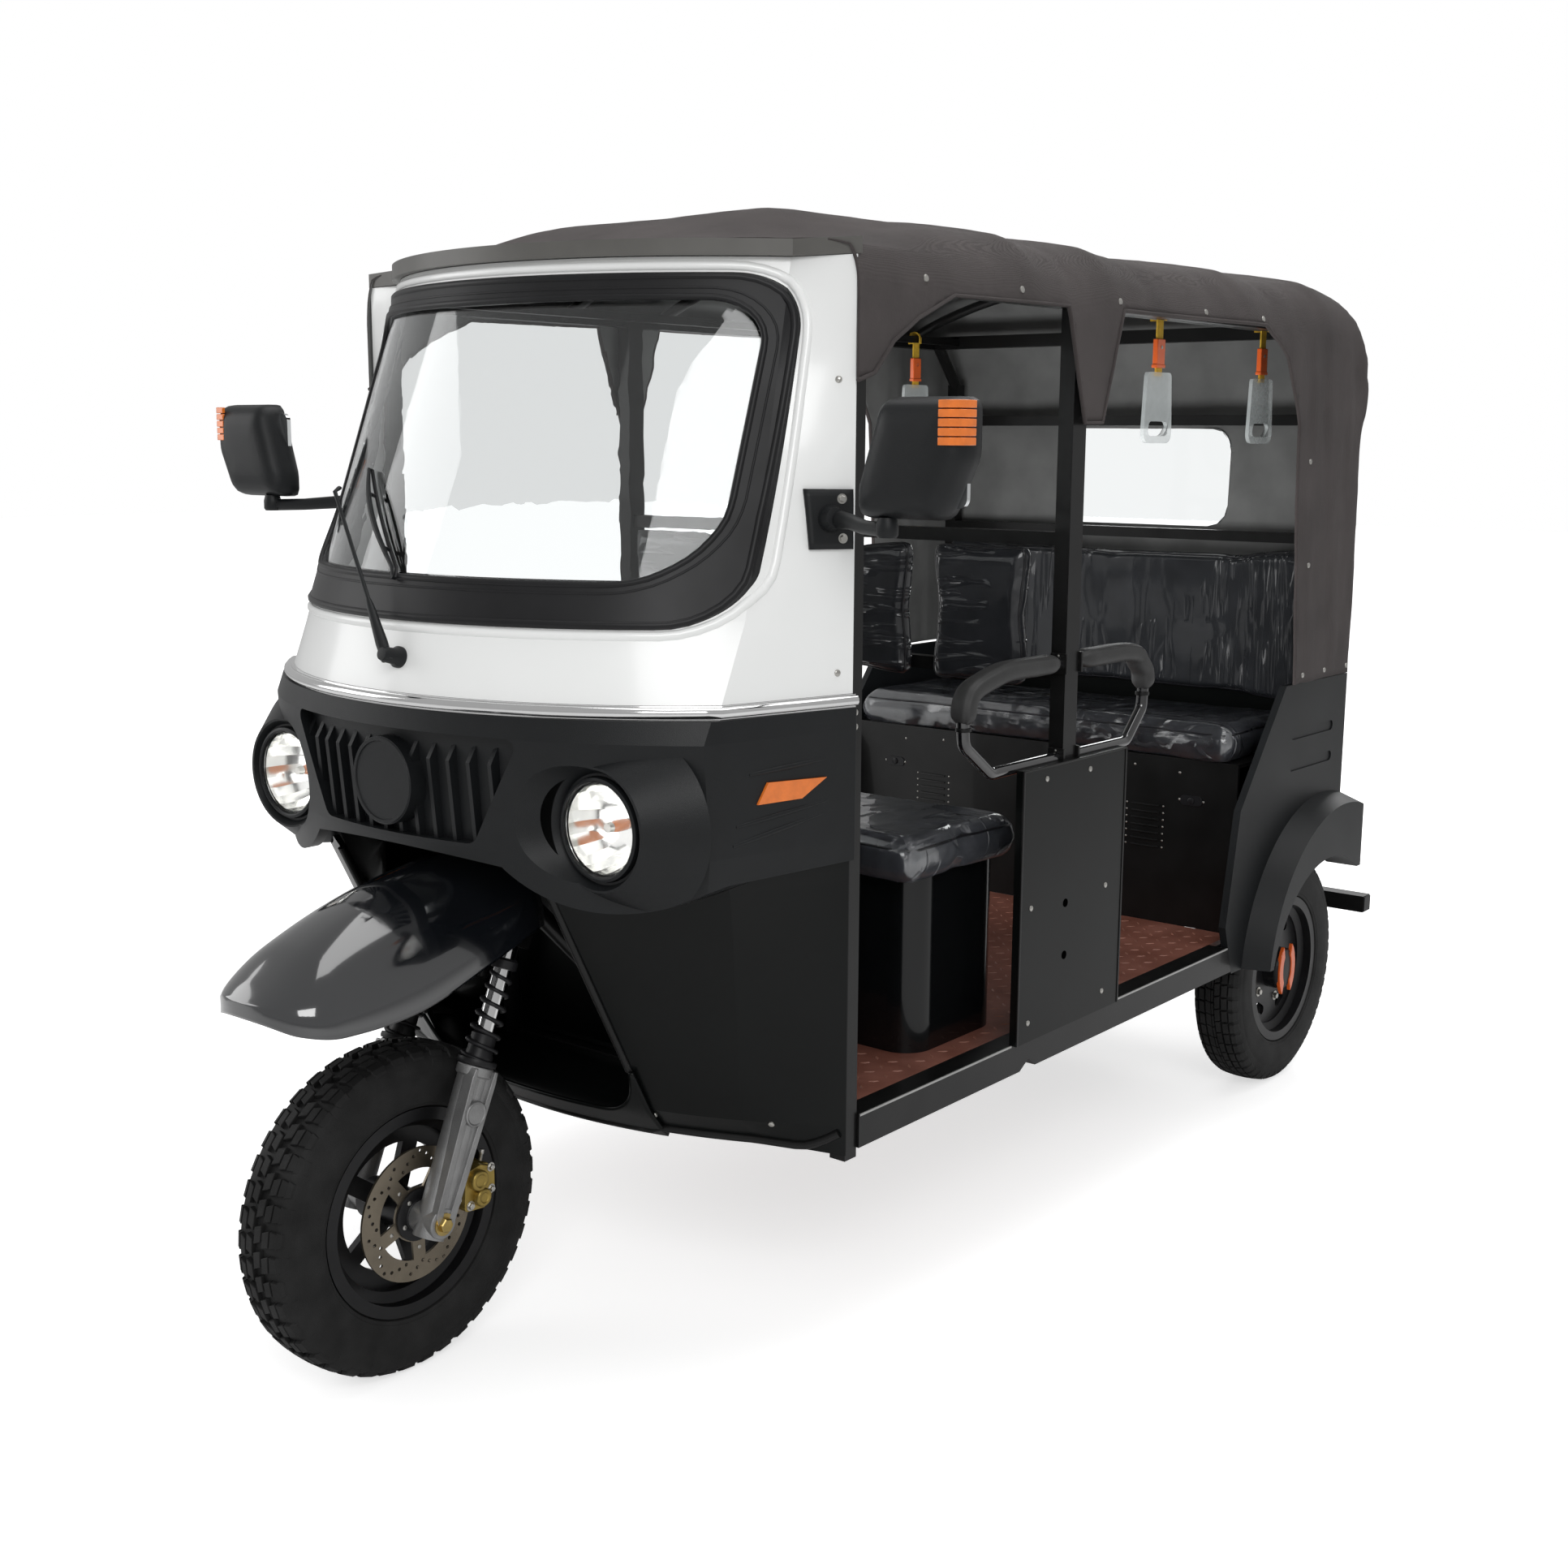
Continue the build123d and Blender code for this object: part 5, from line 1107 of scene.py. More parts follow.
def buildFork(setup):
    rake = math.radians(setup["rake"])
    up, ahead = Vector((0, math.sin(rake), math.cos(rake))), Vector((0, -math.cos(rake), math.sin(rake)))
    cast, bolts, coils, cups, brass = newMeshes(5)
    for side in (-1, 1):
        length = (setup["top"] - setup["webFoot"]) / math.cos(rake)
        webFoot = forkPoint(side, setup["webFoot"], 0.006)
        # two edge flanges with a shallow web between them, on the outer face of the leg
        for edge in (-1, 1):
            outline = [(0.0, 0.012), (0.012, 0.020), (length - 0.018, 0.026), (length - 0.002, 0.024),
                       (length - 0.002, 0.018), (0.0, 0.006)]
            addPrism(cast, [(along, edge * wide) for along, wide in outline], webFoot, up, ahead, 0.022 * side)
        addPrism(cast, [(0.002, -0.012), (0.002, 0.012), (length - 0.004, 0.020), (length - 0.004, -0.020)],
                 forkPoint(side, setup["webFoot"], 0.008), up, ahead, 0.016 * side)
        # top collar and the blank round boss
        addLathe(cast, [(0.0262, -0.016), (0.0290, -0.013), (0.0290, 0.0), (0.0240, 0.003), (0.0240, -0.016)],
                 forkPoint(side, setup["top"]), up, 32, closed=True)
        addLathe(cast, [(0.0205, 0), (0.0205, 0.0305), (0.0190, 0.0315), (0.0175, 0.0315), (0.0165, 0.0300),
                        (0.0, 0.0300)], forkPoint(side, setup["boss"]), (side, 0, 0), 32)
        # foot round the axle, with its nut and pinch bolt
        addLathe(cast, [(0.0235, -0.030), (0.0250, -0.028), (0.0250, 0.024), (0.0235, 0.026), (0.0, 0.026)],
                 (side * setup["legX"], frontY, axleZ), (side, 0, 0), 32)
        addBolt(brass, (side * (setup["legX"] + 0.026), frontY, axleZ), (side, 0, 0), 0.012, 0.010)
        addBolt(bolts, forkPoint(side, 0.300, 0.018, -0.023), -ahead, 0.0055, 0.005)
        # spring over the chrome tube, narrower towards the top
        path = []
        low, high = setup["top"] + 0.008, setup["springTop"]
        count = setup["springTurns"] * 16
        for k in range(count + 1):
            t = k / count
            a = 2 * math.pi * setup["springTurns"] * t
            r = setup["springLow"] + (setup["springHigh"] - setup["springLow"]) * t - setup["wire"]
            across = Vector((1, 0, 0)) * r * math.cos(a)
            path.append(forkPoint(side, low + (high - low) * t) + across + ahead * r * math.sin(a))
        addTube(coils, path, setup["wire"], 8)
        addLathe(cups, [(0.0155, 0.0), (0.0310, 0.0), (0.0320, 0.004), (0.0310, 0.009), (0.0155, 0.009)],
                 forkPoint(side, setup["top"] + 0.002), up, 32, closed=True)
        addLathe(cups, [(0.0155, 0.0), (0.0210, 0.001), (0.0220, 0.014), (0.0180, 0.018), (0.0155, 0.018)],
                 forkPoint(side, high - 0.006), up, 32, closed=True)
        addLathe(cups, [(0.0155, 0.0), (0.0225, 0.0), (0.0235, 0.006), (0.0205, 0.012), (0.0200, 0.040),
                        (0.0155, 0.044)], forkPoint(side, setup["top"] + 0.010), up, 32, closed=True)
    makePiece("forkCasting", cast, "forkCast", "steering", bevel=0.0015)
    makePiece("forkBolts", bolts, "boltSteel", "steering")
    makePiece("axleNuts", brass, "brassNut", "steering")
    makePiece("forkCoils", coils, "sealRubber", "steering", sharpAngle=80)
    makePiece("forkCups", cups, "sealRubber", "steering", node="fork_springs")


buildFork(forkSetup)

caliperSetup = {"y": 0.092, "z": 0.026, "outer": 0.0670, "inner": 0.0400}


def buildCaliper(setup):
    b, bolts = newMeshes(2)
    y, z = frontY + setup["y"], axleZ + setup["z"]
    outer, inner = setup["outer"], setup["inner"]
    body = filletOutline([(-0.030, -0.034), (0.012, -0.038), (0.034, -0.012), (0.034, 0.024), (0.006, 0.036),
                          (-0.026, 0.030)], (0.007,) * 6, 4)
    for x0, depth in ((outer, 0.030), (inner, 0.010)):
        addPrism(b, body, (x0, y, z), (0, 1, 0), (0, 0, 1), depth)
    saddle = filletOutline([(0.022, -0.024), (0.036, -0.020), (0.036, 0.026), (0.022, 0.030)], (0.003,) * 4, 3)
    addPrism(b, saddle, (inner, y, z), (0, 1, 0), (0, 0, 1), 0.040)
    for dy, dz, r in ((-0.004, 0.014, 0.017), (0.003, -0.016, 0.015)):
        addLathe(b, [(r, 0), (r, 0.010), (r - 0.002, 0.0125), (r - 0.006, 0.0125), (r - 0.0075, 0.0105),
                     (0, 0.0105)], (outer + 0.029, y + dy, z + dz), (1, 0, 0), 28)
    # ears that bolt to the leg's lug
    ears = filletOutline([(-0.048, 0.018), (-0.020, 0.010), (-0.020, 0.040), (-0.046, 0.044)], (0.007,) * 4, 4)
    addPrism(b, ears, (outer + 0.010, y, z), (0, 1, 0), (0, 0, 1), 0.010)
    makePiece("caliperBody", b, "caliperGold", "steering", bevel=0.0015, node="brake_caliper")
    for dy, dz, r in ((-0.038, 0.032, 0.0065), (0.026, 0.026, 0.005), (0.026, -0.010, 0.005),
                      (-0.018, -0.026, 0.0055)):
        addBolt(bolts, (outer + (0.020 if dy < -0.03 else 0.030), y + dy, z + dz), (1, 0, 0), r, 0.006)
    addLathe(bolts, [(0.003, 0), (0.003, 0.010), (0.0042, 0.012), (0.0042, 0.018), (0, 0.019)],
             (outer + 0.012, y + 0.020, z + 0.034), (0, 0.25, 1), 12)
    makePiece("caliperBolts", bolts, "boltSteel", "steering")


buildCaliper(caliperSetup)
print("front wheel, fork and brake ready")

rearHubSetup = {"x": 0.453, "capFace": 0.044, "nutFace": 0.018, "nuts": 5, "nutCircle": 0.080}


def buildHubs(setup):
    for name, side in (("Left", 1), ("Right", -1)):
        body = "rear_wheel_" + name.lower()
        face = side * (setup["x"] + setup["capFace"])
        cap, accent, bolts = newMeshes(3)
        addLathe(cap, [(0.0475, -0.002), (0.0475, 0.004), (0.044, 0.009), (0.030, 0.011), (0, 0.0115)],
                 (face, rearY, axleZ), (side, 0, 0), 40)
        # two curved accents across the cap
        for way in (-1, 1):
            outline = []
            for radius, first, sweep, squash in ((0.066, -58, 116, 0.62), (0.040, 48, -96, 0.55)):
                for k in range(9):
                    a = math.radians(first + sweep * k / 8)
                    outline.append((radius * math.cos(a) * way * squash, radius * math.sin(a)))
            addPrism(accent, outline, (face + side * 0.005, rearY, axleZ), (0, 1, 0), (0, 0, 1), 0.009 * side)
        makePiece("hubCap" + name, cap, "sealRubber", body)
        makePiece("hubAccent" + name, accent, "capOrange", body, bevel=0.0012)
        for k in range(setup["nuts"]):
            a, r = 2 * math.pi * k / setup["nuts"], setup["nutCircle"]
            place = (side * (setup["x"] + setup["nutFace"]), rearY + r * math.cos(a), axleZ + r * math.sin(a))
            addBolt(bolts, place, (side, 0, 0), 0.0075, 0.008)
        makePiece("wheelNuts" + name, bolts, "boltSteel", body)


buildHubs(rearHubSetup)
print("rear hubs ready")


cushionSetup = {
    "voxel": 0.0095, "pressure": 4.0, "cap": 0.022, "hold": 0.25, "frames": 20, "inset": 0.004,
    # node, piece, low and high corner behind the axle, corner rounding, how full, finish, loose film on top
    "pads": (
        ("driver_cushion", "driverCushion", (-0.500, 0.700, 0.7255), (0.500, 1.0565, 0.800), 0.030, 0.55,
         "wrapFlatPaintedSheen", True),
        ("rear_cushion", "rearCushion", (-0.500, 1.867, 0.7805), (0.500, 2.223, 0.857), 0.030, 0.55, "wrapFlatPaintedSheen",
         True),
        ("rear_backrest", "rearBackrest", (-0.497, 2.229, 0.863), (0.497, 2.294, 1.231), 0.028, 0.5,
         "wrapUpright", False),
        ("driver_backrest", "driverPadLeft", (0.270, 1.0575, 1.021), (0.480, 1.1018, 1.284), 0.018, 0.5,
         "wrapAcross", False),
        ("driver_backrest", "driverPadMiddle", (-0.228, 1.0575, 1.021), (0.228, 1.1018, 1.284), 0.018, 0.5,
         "wrapAcross", False),
        ("driver_backrest", "driverPadRight", (-0.480, 1.0575, 1.021), (-0.270, 1.1018, 1.284), 0.018, 0.5,
         "wrapAcross", False),
    ),
}


def ridges(place, scale, sharp):
    # thin ridges like folds in plastic film
    v = noise.noise(Vector((place.x * scale[0], place.y * scale[1], place.z * scale[2])))
    return max(0.0, 1 - abs(v) * 2.6) ** sharp


def seamRound(b, piece, low, high, thin, level):
    # piping laid on the pad's surface, all the way round
    skin = BVHTree.FromPolygons([v.co for v in piece.data.vertices],
                                [list(p.vertices) for p in piece.data.polygons])
    across = [k for k in range(3) if k != thin]
    middle = (low + high) / 2
    corners = [tuple((low, high)[j][across[i]] for i, j in enumerate(pick))
               for pick in ((0, 0), (1, 0), (1, 1), (0, 1))]
    path = []
    for a, c in evenPoints(filletOutline(corners, (0.03,) * 4, 5), 110):
        start = Vector((0, 0, 0))
        start[across[0]], start[across[1]], start[thin] = a, c, level
        aim = middle - start
        aim[thin] = 0
        place, normal = lands(skin, start - aim.normalized() * 0.05, aim.normalized())
        path.append(place - normal * 0.0008)
    addTube(b, path, 0.0028, 6, closed=True)


def buildPad(setup, seams, node, name, low, high, corner, fill, finishName, film):
    low, high = Vector(low), Vector(high)
    low.y += frontY
    high.y += frontY
    b = bmesh.new()
    addBox(b, (low + high) / 2, high - low - Vector((2 * setup["inset"],) * 3))
    bmesh.ops.recalc_face_normals(b, faces=b.faces)
    bmesh.ops.bevel(b, geom=b.edges[:], offset=corner, segments=4, affect="EDGES", profile=0.5)
    blank = bareObject(name + "Blank", b)
    remesh = blank.modifiers.new("remesh", "REMESH")
    remesh.mode, remesh.voxel_size = "VOXEL", setup["voxel"]
    start = bakedMesh(blank, name)
    bpy.data.objects.remove(blank)
    piece = bpy.data.objects.new(name, start)
    bpy.context.collection.objects.link(piece)
    before = [v.co.copy() for v in start.vertices]
    cloth = piece.modifiers.new("cloth", "CLOTH")
    cloth.settings.use_pressure = True
    cloth.settings.uniform_pressure_force = setup["pressure"]
    cloth.settings.effector_weights.gravity = 0
    cloth.settings.quality = 4
    cloth.collision_settings.use_collision = False
    for step in range(1, setup["frames"] + 1):
        bpy.context.scene.frame_set(step)
    settled = bakedMesh(piece, name)
    piece.modifiers.remove(cloth)
    piece.data = settled
    bpy.context.scene.frame_set(1)
    mesh = piece.data
    thin = min(range(3), key=lambda k: high[k] - low[k])
    for v, old in zip(mesh.vertices, before):
        move = v.co - old
        for k in range(3):
            move[k] *= 1.0 if k == thin else setup["hold"]
        if move.length > setup["cap"]:
            move *= setup["cap"] / move.length
        v.co = old + move
        for k in range(3):
            give = 0.004 if k == thin else 0.002
            held = k == thin and (thin == 2 or node == "rear_backrest")
            v.co[k] = min(high[k] + give, max(low[k] + (0.0002 if held else -give + 0.002), v.co[k]))
        if thin == 1 and v.co.y > high.y - 0.0005:
            v.co.y = high.y - 0.0005
    # folds pull along the edges
    normals = [v.normal.copy() for v in mesh.vertices]
    for v, normal in zip(mesh.vertices, normals):
        stretch = (26, 7, 9) if thin == 2 else (20, 10, 6)
        v.co += normal * (0.0009 * ridges(v.co, stretch, 3) - 0.0005)
    for polygon in mesh.polygons:
        polygon.use_smooth = True
    mesh.materials.clear()
    mesh.materials.append(finish[finishName])
    addSmoother(piece)
    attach(piece, "chassis")
    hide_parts(node)
    seamRound(seams, piece, low, high, thin, high[thin] - 0.016 if thin == 2 else low[thin] + 0.012)
    if not film:
        return
    # clear film over it, bunched at the corners
    loose = mesh.copy()
    loose.name = name + "Film"
    for v in loose.vertices:
        normal = v.normal
        corner = max(0.0, 1 - (Vector((abs(v.co.x) - high.x, v.co.y - low.y)).length / 0.075))
        fold = ridges(v.co + Vector((3, 1, 2)), (22, 9, 12), 4) * (0.4 + corner * 2.2)
        lift = 0.0010 + 0.0034 * fold + 0.004 * corner * abs(noise.noise(v.co * 70))
        if v.co.z < low.z + 0.004:
            lift = 0.0002
        v.co += normal * lift
        v.co.z = max(v.co.z, low.z + 0.0003)
    wrap = newPiece(name + "Film", loose, "plasticWrap", "chassis", sharpAngle=60)
    addSmoother(wrap)


padSeams = bmesh.new()
for pad in cushionSetup["pads"]:
    buildPad(cushionSetup, padSeams, *pad)
makePiece("padSeams", padSeams, "seatVinyl", sharpAngle=80)
print("cushions ready")

armSetup = {
    "x": 0.534, "y": 1.115, "top": 1.072, "lowBar": 0.902, "far": 1.038, "knee": 0.225,
    "reaches": (0.333, 0.291),
    "padWide": 0.0215, "padHigh": 0.0175, "lift": 0.0020, "steps": 36, "around": 28, "lines": (4, 10),
}


def buildArmPads(setup):
    # stuffed sleeves over the top bars, each with two pressed lines, and flanges on the posts
    steps, around = setup["steps"], setup["around"]
    b, bolts, flanges = newMeshes(3)
    for side in (-1, 1):
        x, y = side * setup["x"], frontY + setup["y"]
        for way, reach in ((-1, setup["reaches"][0]), (1, setup["reaches"][1])):
            top, knee, far = setup["top"], setup["knee"], setup["far"]
            rows = [(0, 0.036, top), (1, 0.11, top), (2, knee - 0.03, top), (3, knee + 0.02, top - 0.007),
                    (4, reach - 0.030, far + 0.012), (5, reach - 0.010, far - 0.008),
                    (6, reach - 0.006, far - 0.042)]
            path = [curveThrough(rows, 6 * k / steps) for k in range(steps + 1)]
            rings = []
            for k, (along, z) in enumerate(path):
                ahead, behind = path[min(steps, k + 1)], path[max(0, k - 1)]
                run = Vector((0, ahead[0] - behind[0], ahead[1] - behind[1])).normalized()
                up = Vector((0, -run.z, run.y))
                end = min(1.0, (k + 0.6) / 3, (steps + 0.6 - k) / 3) ** 0.5
                ring = []
                for j in range(around):
                    a = 2 * math.pi * j / around
                    c, d = math.cos(a), math.sin(a)
                    wide = math.copysign(abs(c) ** 0.75, c) * setup["padWide"]
                    high = math.copysign(abs(d) ** 0.8, d) * setup["padHigh"]
                    line = 0.0016 if j in setup["lines"] else 0.0
                    lump = 1 + 0.03 * noise.noise(Vector((along * 40, j * 0.7, side * 3)))
                    out = Vector((wide, 0, 0)) * end * lump + up * (high * end * lump - line + setup["lift"])
                    point = Vector((x, y + way * along, z)) + Vector((out.x, out.y * way, out.z))
                    ring.append(b.verts.new(point))
                rings.append(ring)
            for near, far in zip(rings, rings[1:]):
                bridge(b, near, far)
            b.faces.new(rings[0])
            b.faces.new(rings[-1])
            for z in (setup["top"], setup["lowBar"]):
                addBox(flanges, (x, y + way * 0.0262, z), (0.034, 0.0055, 0.036))
                addBolt(bolts, (x, y + way * 0.029, z + 0.0140), (0, way, 0), 0.0022, 0.002, 12)
            # rings where the sleeve ends
            addLathe(flanges, [(0.0112, -0.004), (0.0135, -0.003), (0.0135, 0.003), (0.0112, 0.004)],
                     (x, y + way * (reach - 0.006), setup["far"] - 0.050), (0, 0, 1), 20)
    makePiece("armPads", b, "padRubber", sharpAngle=50)
    makePiece("armFlanges", flanges, "chassisBlack", bevel=0.0008)
    makePiece("armBolts", bolts, "boltSteel")


buildArmPads(armSetup)

gripSetup = {"x": 0.450, "stations": (1.570, 2.030), "top": 1.593, "low": 1.457, "halfTop": 0.048,
             "halfLow": 0.058, "wall": 0.008, "slotHalf": 0.042, "slotLow": 0.014, "slotHigh": 0.042}


def buildGrips(setup):
    plates, sleeves, straps, rivets = newMeshes(4)
    for side in (-1, 1):
        for station in setup["stations"]:
            x, y, top, low = side * setup["x"], frontY + station, setup["top"], setup["low"]
            half, narrow, high = setup["halfLow"], setup["halfTop"], top - low
            outer = filletOutline([(-half, 0), (half, 0), (narrow, high), (-narrow, high)],
                                  (0.020, 0.020, 0.008, 0.008), 5)
            half, floor, roof = setup["slotHalf"], setup["slotLow"], setup["slotHigh"]
            slot = filletOutline([(-half, floor), (half, floor), (half - 0.006, roof), (-half + 0.006, roof)],
                                 (0.011,) * 4, 5)
            outer, slot, wall = evenPoints(outer, 72), evenPoints(slot, 72), setup["wall"] / 2
            rings = []
            for outline, shift in ((outer, wall), (outer, -wall), (slot, -wall), (slot, wall)):
                rings.append([plates.verts.new((x + shift, y + a, low + c)) for a, c in outline])
            for near, far in zip(rings, rings[1:] + rings[:1]):
                bridge(plates, near, far)
            # strap: yellow webbing over the rail, an orange sleeve, and a loop through the plate
            addBox(straps, (x, y, 1.680), (0.0035, 0.024, 0.056))
            over = ((-0.0118, 1.690), (-0.0125, 1.703), (-0.0085, 1.7115), (0, 1.7135), (0.0085, 1.7115),
                    (0.0125, 1.703), (0.0118, 1.690))
            addTube(straps, [(x + a, y, z) for a, z in over], 0.0095, 8, flat=0.22)
            addBox(straps, (x, y, 1.5985), (0.0050, 0.022, 0.026))
            addBox(sleeves, (x, y, 1.630), (0.0110, 0.031, 0.052))
            addBox(sleeves, (x, y, 1.6045), (0.0130, 0.034, 0.007))
            addLathe(rivets, [(0.0035, -0.0068), (0.0035, 0.0068), (0, 0.0072)], (x, y, 1.640), (side, 0, 0),
                     12)
    makePiece("gripPlates", plates, "acrylic", bevel=0.0008, sharpAngle=30, node="hand_grips")
    makePiece("gripSleeves", sleeves, "capOrange", bevel=0.0015)
    makePiece("gripStraps", straps, "strapYellow", bevel=0.0006, node="handle_straps")
    makePiece("gripRivets", rivets, "boltSteel")


buildGrips(gripSetup)
print("armrests and grips ready")

mirrorSetup = {
    "in": 0.655, "out": 0.835, "low": 1.352, "high": 1.518, "y": 0.335, "lean": 0.040,
    "plate": (0.392, 0.455, 1.300, 1.388), "segments": 5, "amberHigh": 1.5135, "amberLow": 1.452,
    "amberWide": 0.034,
}


def mirrorOutline(setup, grow, count=56):
    # the housing leans outward towards its top
    inner, outer, low, high, lean = setup["in"], setup["out"], setup["low"], setup["high"], setup["lean"]
    corners = [(inner, low), (outer - lean, low), (outer, low + 0.085), (outer, high), (inner + lean, high),
               (inner, low + 0.040)]
    outline = evenPoints(filletOutline(corners, (0.012, 0.026, 0.045, 0.018, 0.020, 0.018), 6), count)
    middle = ((inner + outer) / 2, (low + high) / 2)
    shrink = (1 + grow / (outer - middle[0]), 1 + grow / (high - middle[1]))
    return [tuple(middle[k] + (point[k] - middle[k]) * shrink[k] for k in (0, 1)) for point in outline]


def buildMirrors(setup):
    shell, amber, arms, bolts, plates = newMeshes(5)
    front = skinOf("front_panel")
    for side in (-1, 1):
        # crowned housing, open behind for the glass
        rings = []
        for grow, ahead in ((-0.0165, 0.0188), (-0.0165, 0.0265), (-0.012, 0.0296), (-0.003, 0.0296),
                            (0.0, 0.0268), (0.0, 0.010), (-0.002, -0.004),
                            (-0.006, -0.0145), (-0.013, -0.0225), (-0.024, -0.0275), (-0.040, -0.0298),
                            (-0.062, -0.0302)):
            outline = mirrorOutline(setup, grow)
            rings.append([shell.verts.new((side * a, frontY + setup["y"] + ahead, z)) for a, z in outline])
        for near, far in zip(rings, rings[1:]):
            bridge(shell, near, far)
        shell.faces.new(rings[-1])
        shell.faces.new(rings[0][::-1])
        # five-part indicator round the outer edge
        pitch = (setup["amberHigh"] - setup["amberLow"]) / setup["segments"]
        for k in range(setup["segments"]):
            z0 = setup["amberHigh"] - pitch * (k + 1) + 0.0010
            z1 = z0 + pitch - 0.0016
            path = [(-setup["amberWide"], -0.0296), (-0.016, -0.0302), (-0.0045, -0.0225), (0.0015, -0.008),
                    (0.0022, 0.010)]
            inner = [(a - 0.006, y + 0.006) for a, y in path[1:]]
            outline = path + [(path[-1][0] - 0.008, path[-1][1])] + inner[::-1][1:]
            outline.append((path[0][0], path[0][1] + 0.006))
            out, ahead = setup["out"], frontY + setup["y"]
            lows, highs = ([amber.verts.new((side * (out + a), ahead + b, z)) for a, b in outline]
                           for z in (z0, z1))
            bridge(amber, lows, highs)
            amber.faces.new(lows[::-1])
            amber.faces.new(highs)
        # arm and swivel
        addTube(arms, [(side * 0.536, frontY + 0.428, 1.345), (side * 0.585, frontY + 0.402, 1.343),
                       (side * 0.64, frontY + 0.362, 1.338), (side * 0.70, frontY + 0.337, 1.336)],
                       [0.0150, 0.0115, 0.0105, 0.0105], 14)
        addLathe(arms, [(0, -0.010), (0.0130, -0.010), (0.0158, -0.006), (0.0158, 0.008), (0.0130, 0.018),
                        (0, 0.020)], (side * 0.70, frontY + setup["y"], 1.336), (0, 0, 1), 24)
        # plate that follows the panel, with two bolts, and the arm's base
        y0, y1, z0, z1 = setup["plate"]
        grid = []
        for i in range(9):
            row = []
            for j in range(9):
                y, z = y0 + (y1 - y0) * i / 8, z0 + (z1 - z0) * j / 8
                place, normal = fromSide(front, side, y, z)
                row.append(plates.verts.new(place + normal * 0.0058))
            grid.append(row)
        for i in range(8):
            for j in range(8):
                plates.faces.new((grid[i][j], grid[i + 1][j], grid[i + 1][j + 1], grid[i][j + 1]))
        for y, z in ((0.440, 1.316), (0.440, 1.374)):
            place, normal = fromSide(front, side, y, z)
            addBolt(bolts, place + normal * 0.0055, normal, 0.0050, 0.0045)
        place, normal = fromSide(front, side, 0.424, 1.345)
        addLathe(arms, [(0.020, 0), (0.020, 0.006), (0.0165, 0.012), (0.0145, 0.020), (0, 0.022)],
                 place + normal * 0.005, normal, 24)
    makePiece("mirrorShells", shell, "noseBlack", sharpAngle=60, node="mirrors")
    makePiece("mirrorIndicators", amber, "amberLens", bevel=0.0010, sharpAngle=30)
    makePiece("mirrorArms", arms, "noseBlack", sharpAngle=40, node="mirrors")
    makePiece("mirrorBolts", bolts, "boltSteel")
    addWall(makePiece("mirrorPlates", plates, "noseBlack", node="mirrors"), 0.0055)


buildMirrors(mirrorSetup)
print("mirrors ready")

floorSetup = {"height": 0.405, "xHalf": 0.50, "from": 0.512, "to": 1.895, "pitch": 0.034, "length": 0.0105,
              "width": 0.0035, "rise": 0.0013}


def buildTreadStuds(setup):
    # lens-shaped studs, each turned against its neighbours
    b = bmesh.new()
    columns = int(2 * setup["xHalf"] / setup["pitch"])
    rows = int((setup["to"] - setup["from"]) / setup["pitch"])
    for i in range(columns):
        for j in range(rows):
            x = -setup["xHalf"] + (i + 0.6) * setup["pitch"]
            y = setup["from"] + (j + 0.6) * setup["pitch"]
            if 0.765 < y < 1.06 and abs(x) < 0.46:
                continue
            turn = math.pi / 4 if (i + j) % 2 else -math.pi / 4
            u = Vector((math.cos(turn), math.sin(turn), 0))
            v = Vector((-u.y, u.x, 0))
            middle = Vector((x, frontY + y, setup["height"] - 0.0001))
            u, v, up = u * setup["length"], v * setup["width"], Vector((0, 0, setup["rise"]))
            low = [b.verts.new(middle + step) for step in (u, v, -u, -v)]
            high = [b.verts.new(middle + step + up) for step in (u * 0.6, v * 0.5, -u * 0.6, -v * 0.5)]
            bridge(b, low, high)
            b.faces.new(high)
    makePiece("treadStuds", b, "treadPlate")


buildTreadStuds(floorSetup)

sideSetup = {
    "screw": 0.0055,
    "screws": ((1.017, 0.877), (1.167, 0.875), (0.976, 0.651), (1.238, 0.646), (0.976, 0.441), (1.238, 0.441)),
    "holes": ((1.094, 0.639), (1.095, 0.5415)),
}


def buildSideTrim(setup):
    screws, holes, lines, edges = newMeshes(4)
    panel = skinOf("side_panels")
    for side in (-1, 1):
        for y, z in setup["screws"]:
            place, normal = fromSide(panel, side, y, z)
            addBolt(screws, place, normal, setup["screw"], 0.003, 12)
        # each hole is a thin near-black disc laid on the panel: painted shade for the hole's depth
        for y, z in setup["holes"]:
            place, normal = fromSide(panel, side, y, z)
            addLathe(holes, [(0.0078, 0), (0.0078, 0.0006), (0, 0.0006)], place, normal, 20)
        # bright line along the sill's upper edge and the sheet's folded edges
        for y0, y1 in ((0.492, 0.939), (1.301, 1.79)):
            addBox(lines, (side * 0.5500, frontY + (y0 + y1) / 2, 0.4045), (0.0022, y1 - y0, 0.0035))
        for y in (0.9415, 1.2985):
            addBox(edges, (side * 0.5600, frontY + y, 0.6525), (0.0035, 0.005, 0.4940))
        addBox(edges, (side * 0.5600, frontY + 1.12, 0.8985), (0.0035, 0.358, 0.004))
    makePiece("panelScrews", screws, "boltSteel")
    makePiece("panelHoles", holes, "paintedHoleShade")
    makePiece("sillLines", lines, "edgeSilver")
    makePiece("panelFolds", edges, "chassisBlack", bevel=0.001)


buildSideTrim(sideSetup)
print("floor and side trim ready")


apronSetup = {
    # (height, middle behind the axle, arc radius) of the shields' plan, low to high
    "plan": ((0.330, 0.335, 0.902), (0.346, 0.322, 0.902), (0.392, 0.284, 0.902), (0.795, 0.060, 0.682)),
    "gap": 0.245, "low": 0.3400, "top": 0.382, "corner": 0.085, "wall": 0.006, "roll": 0.0085,
}


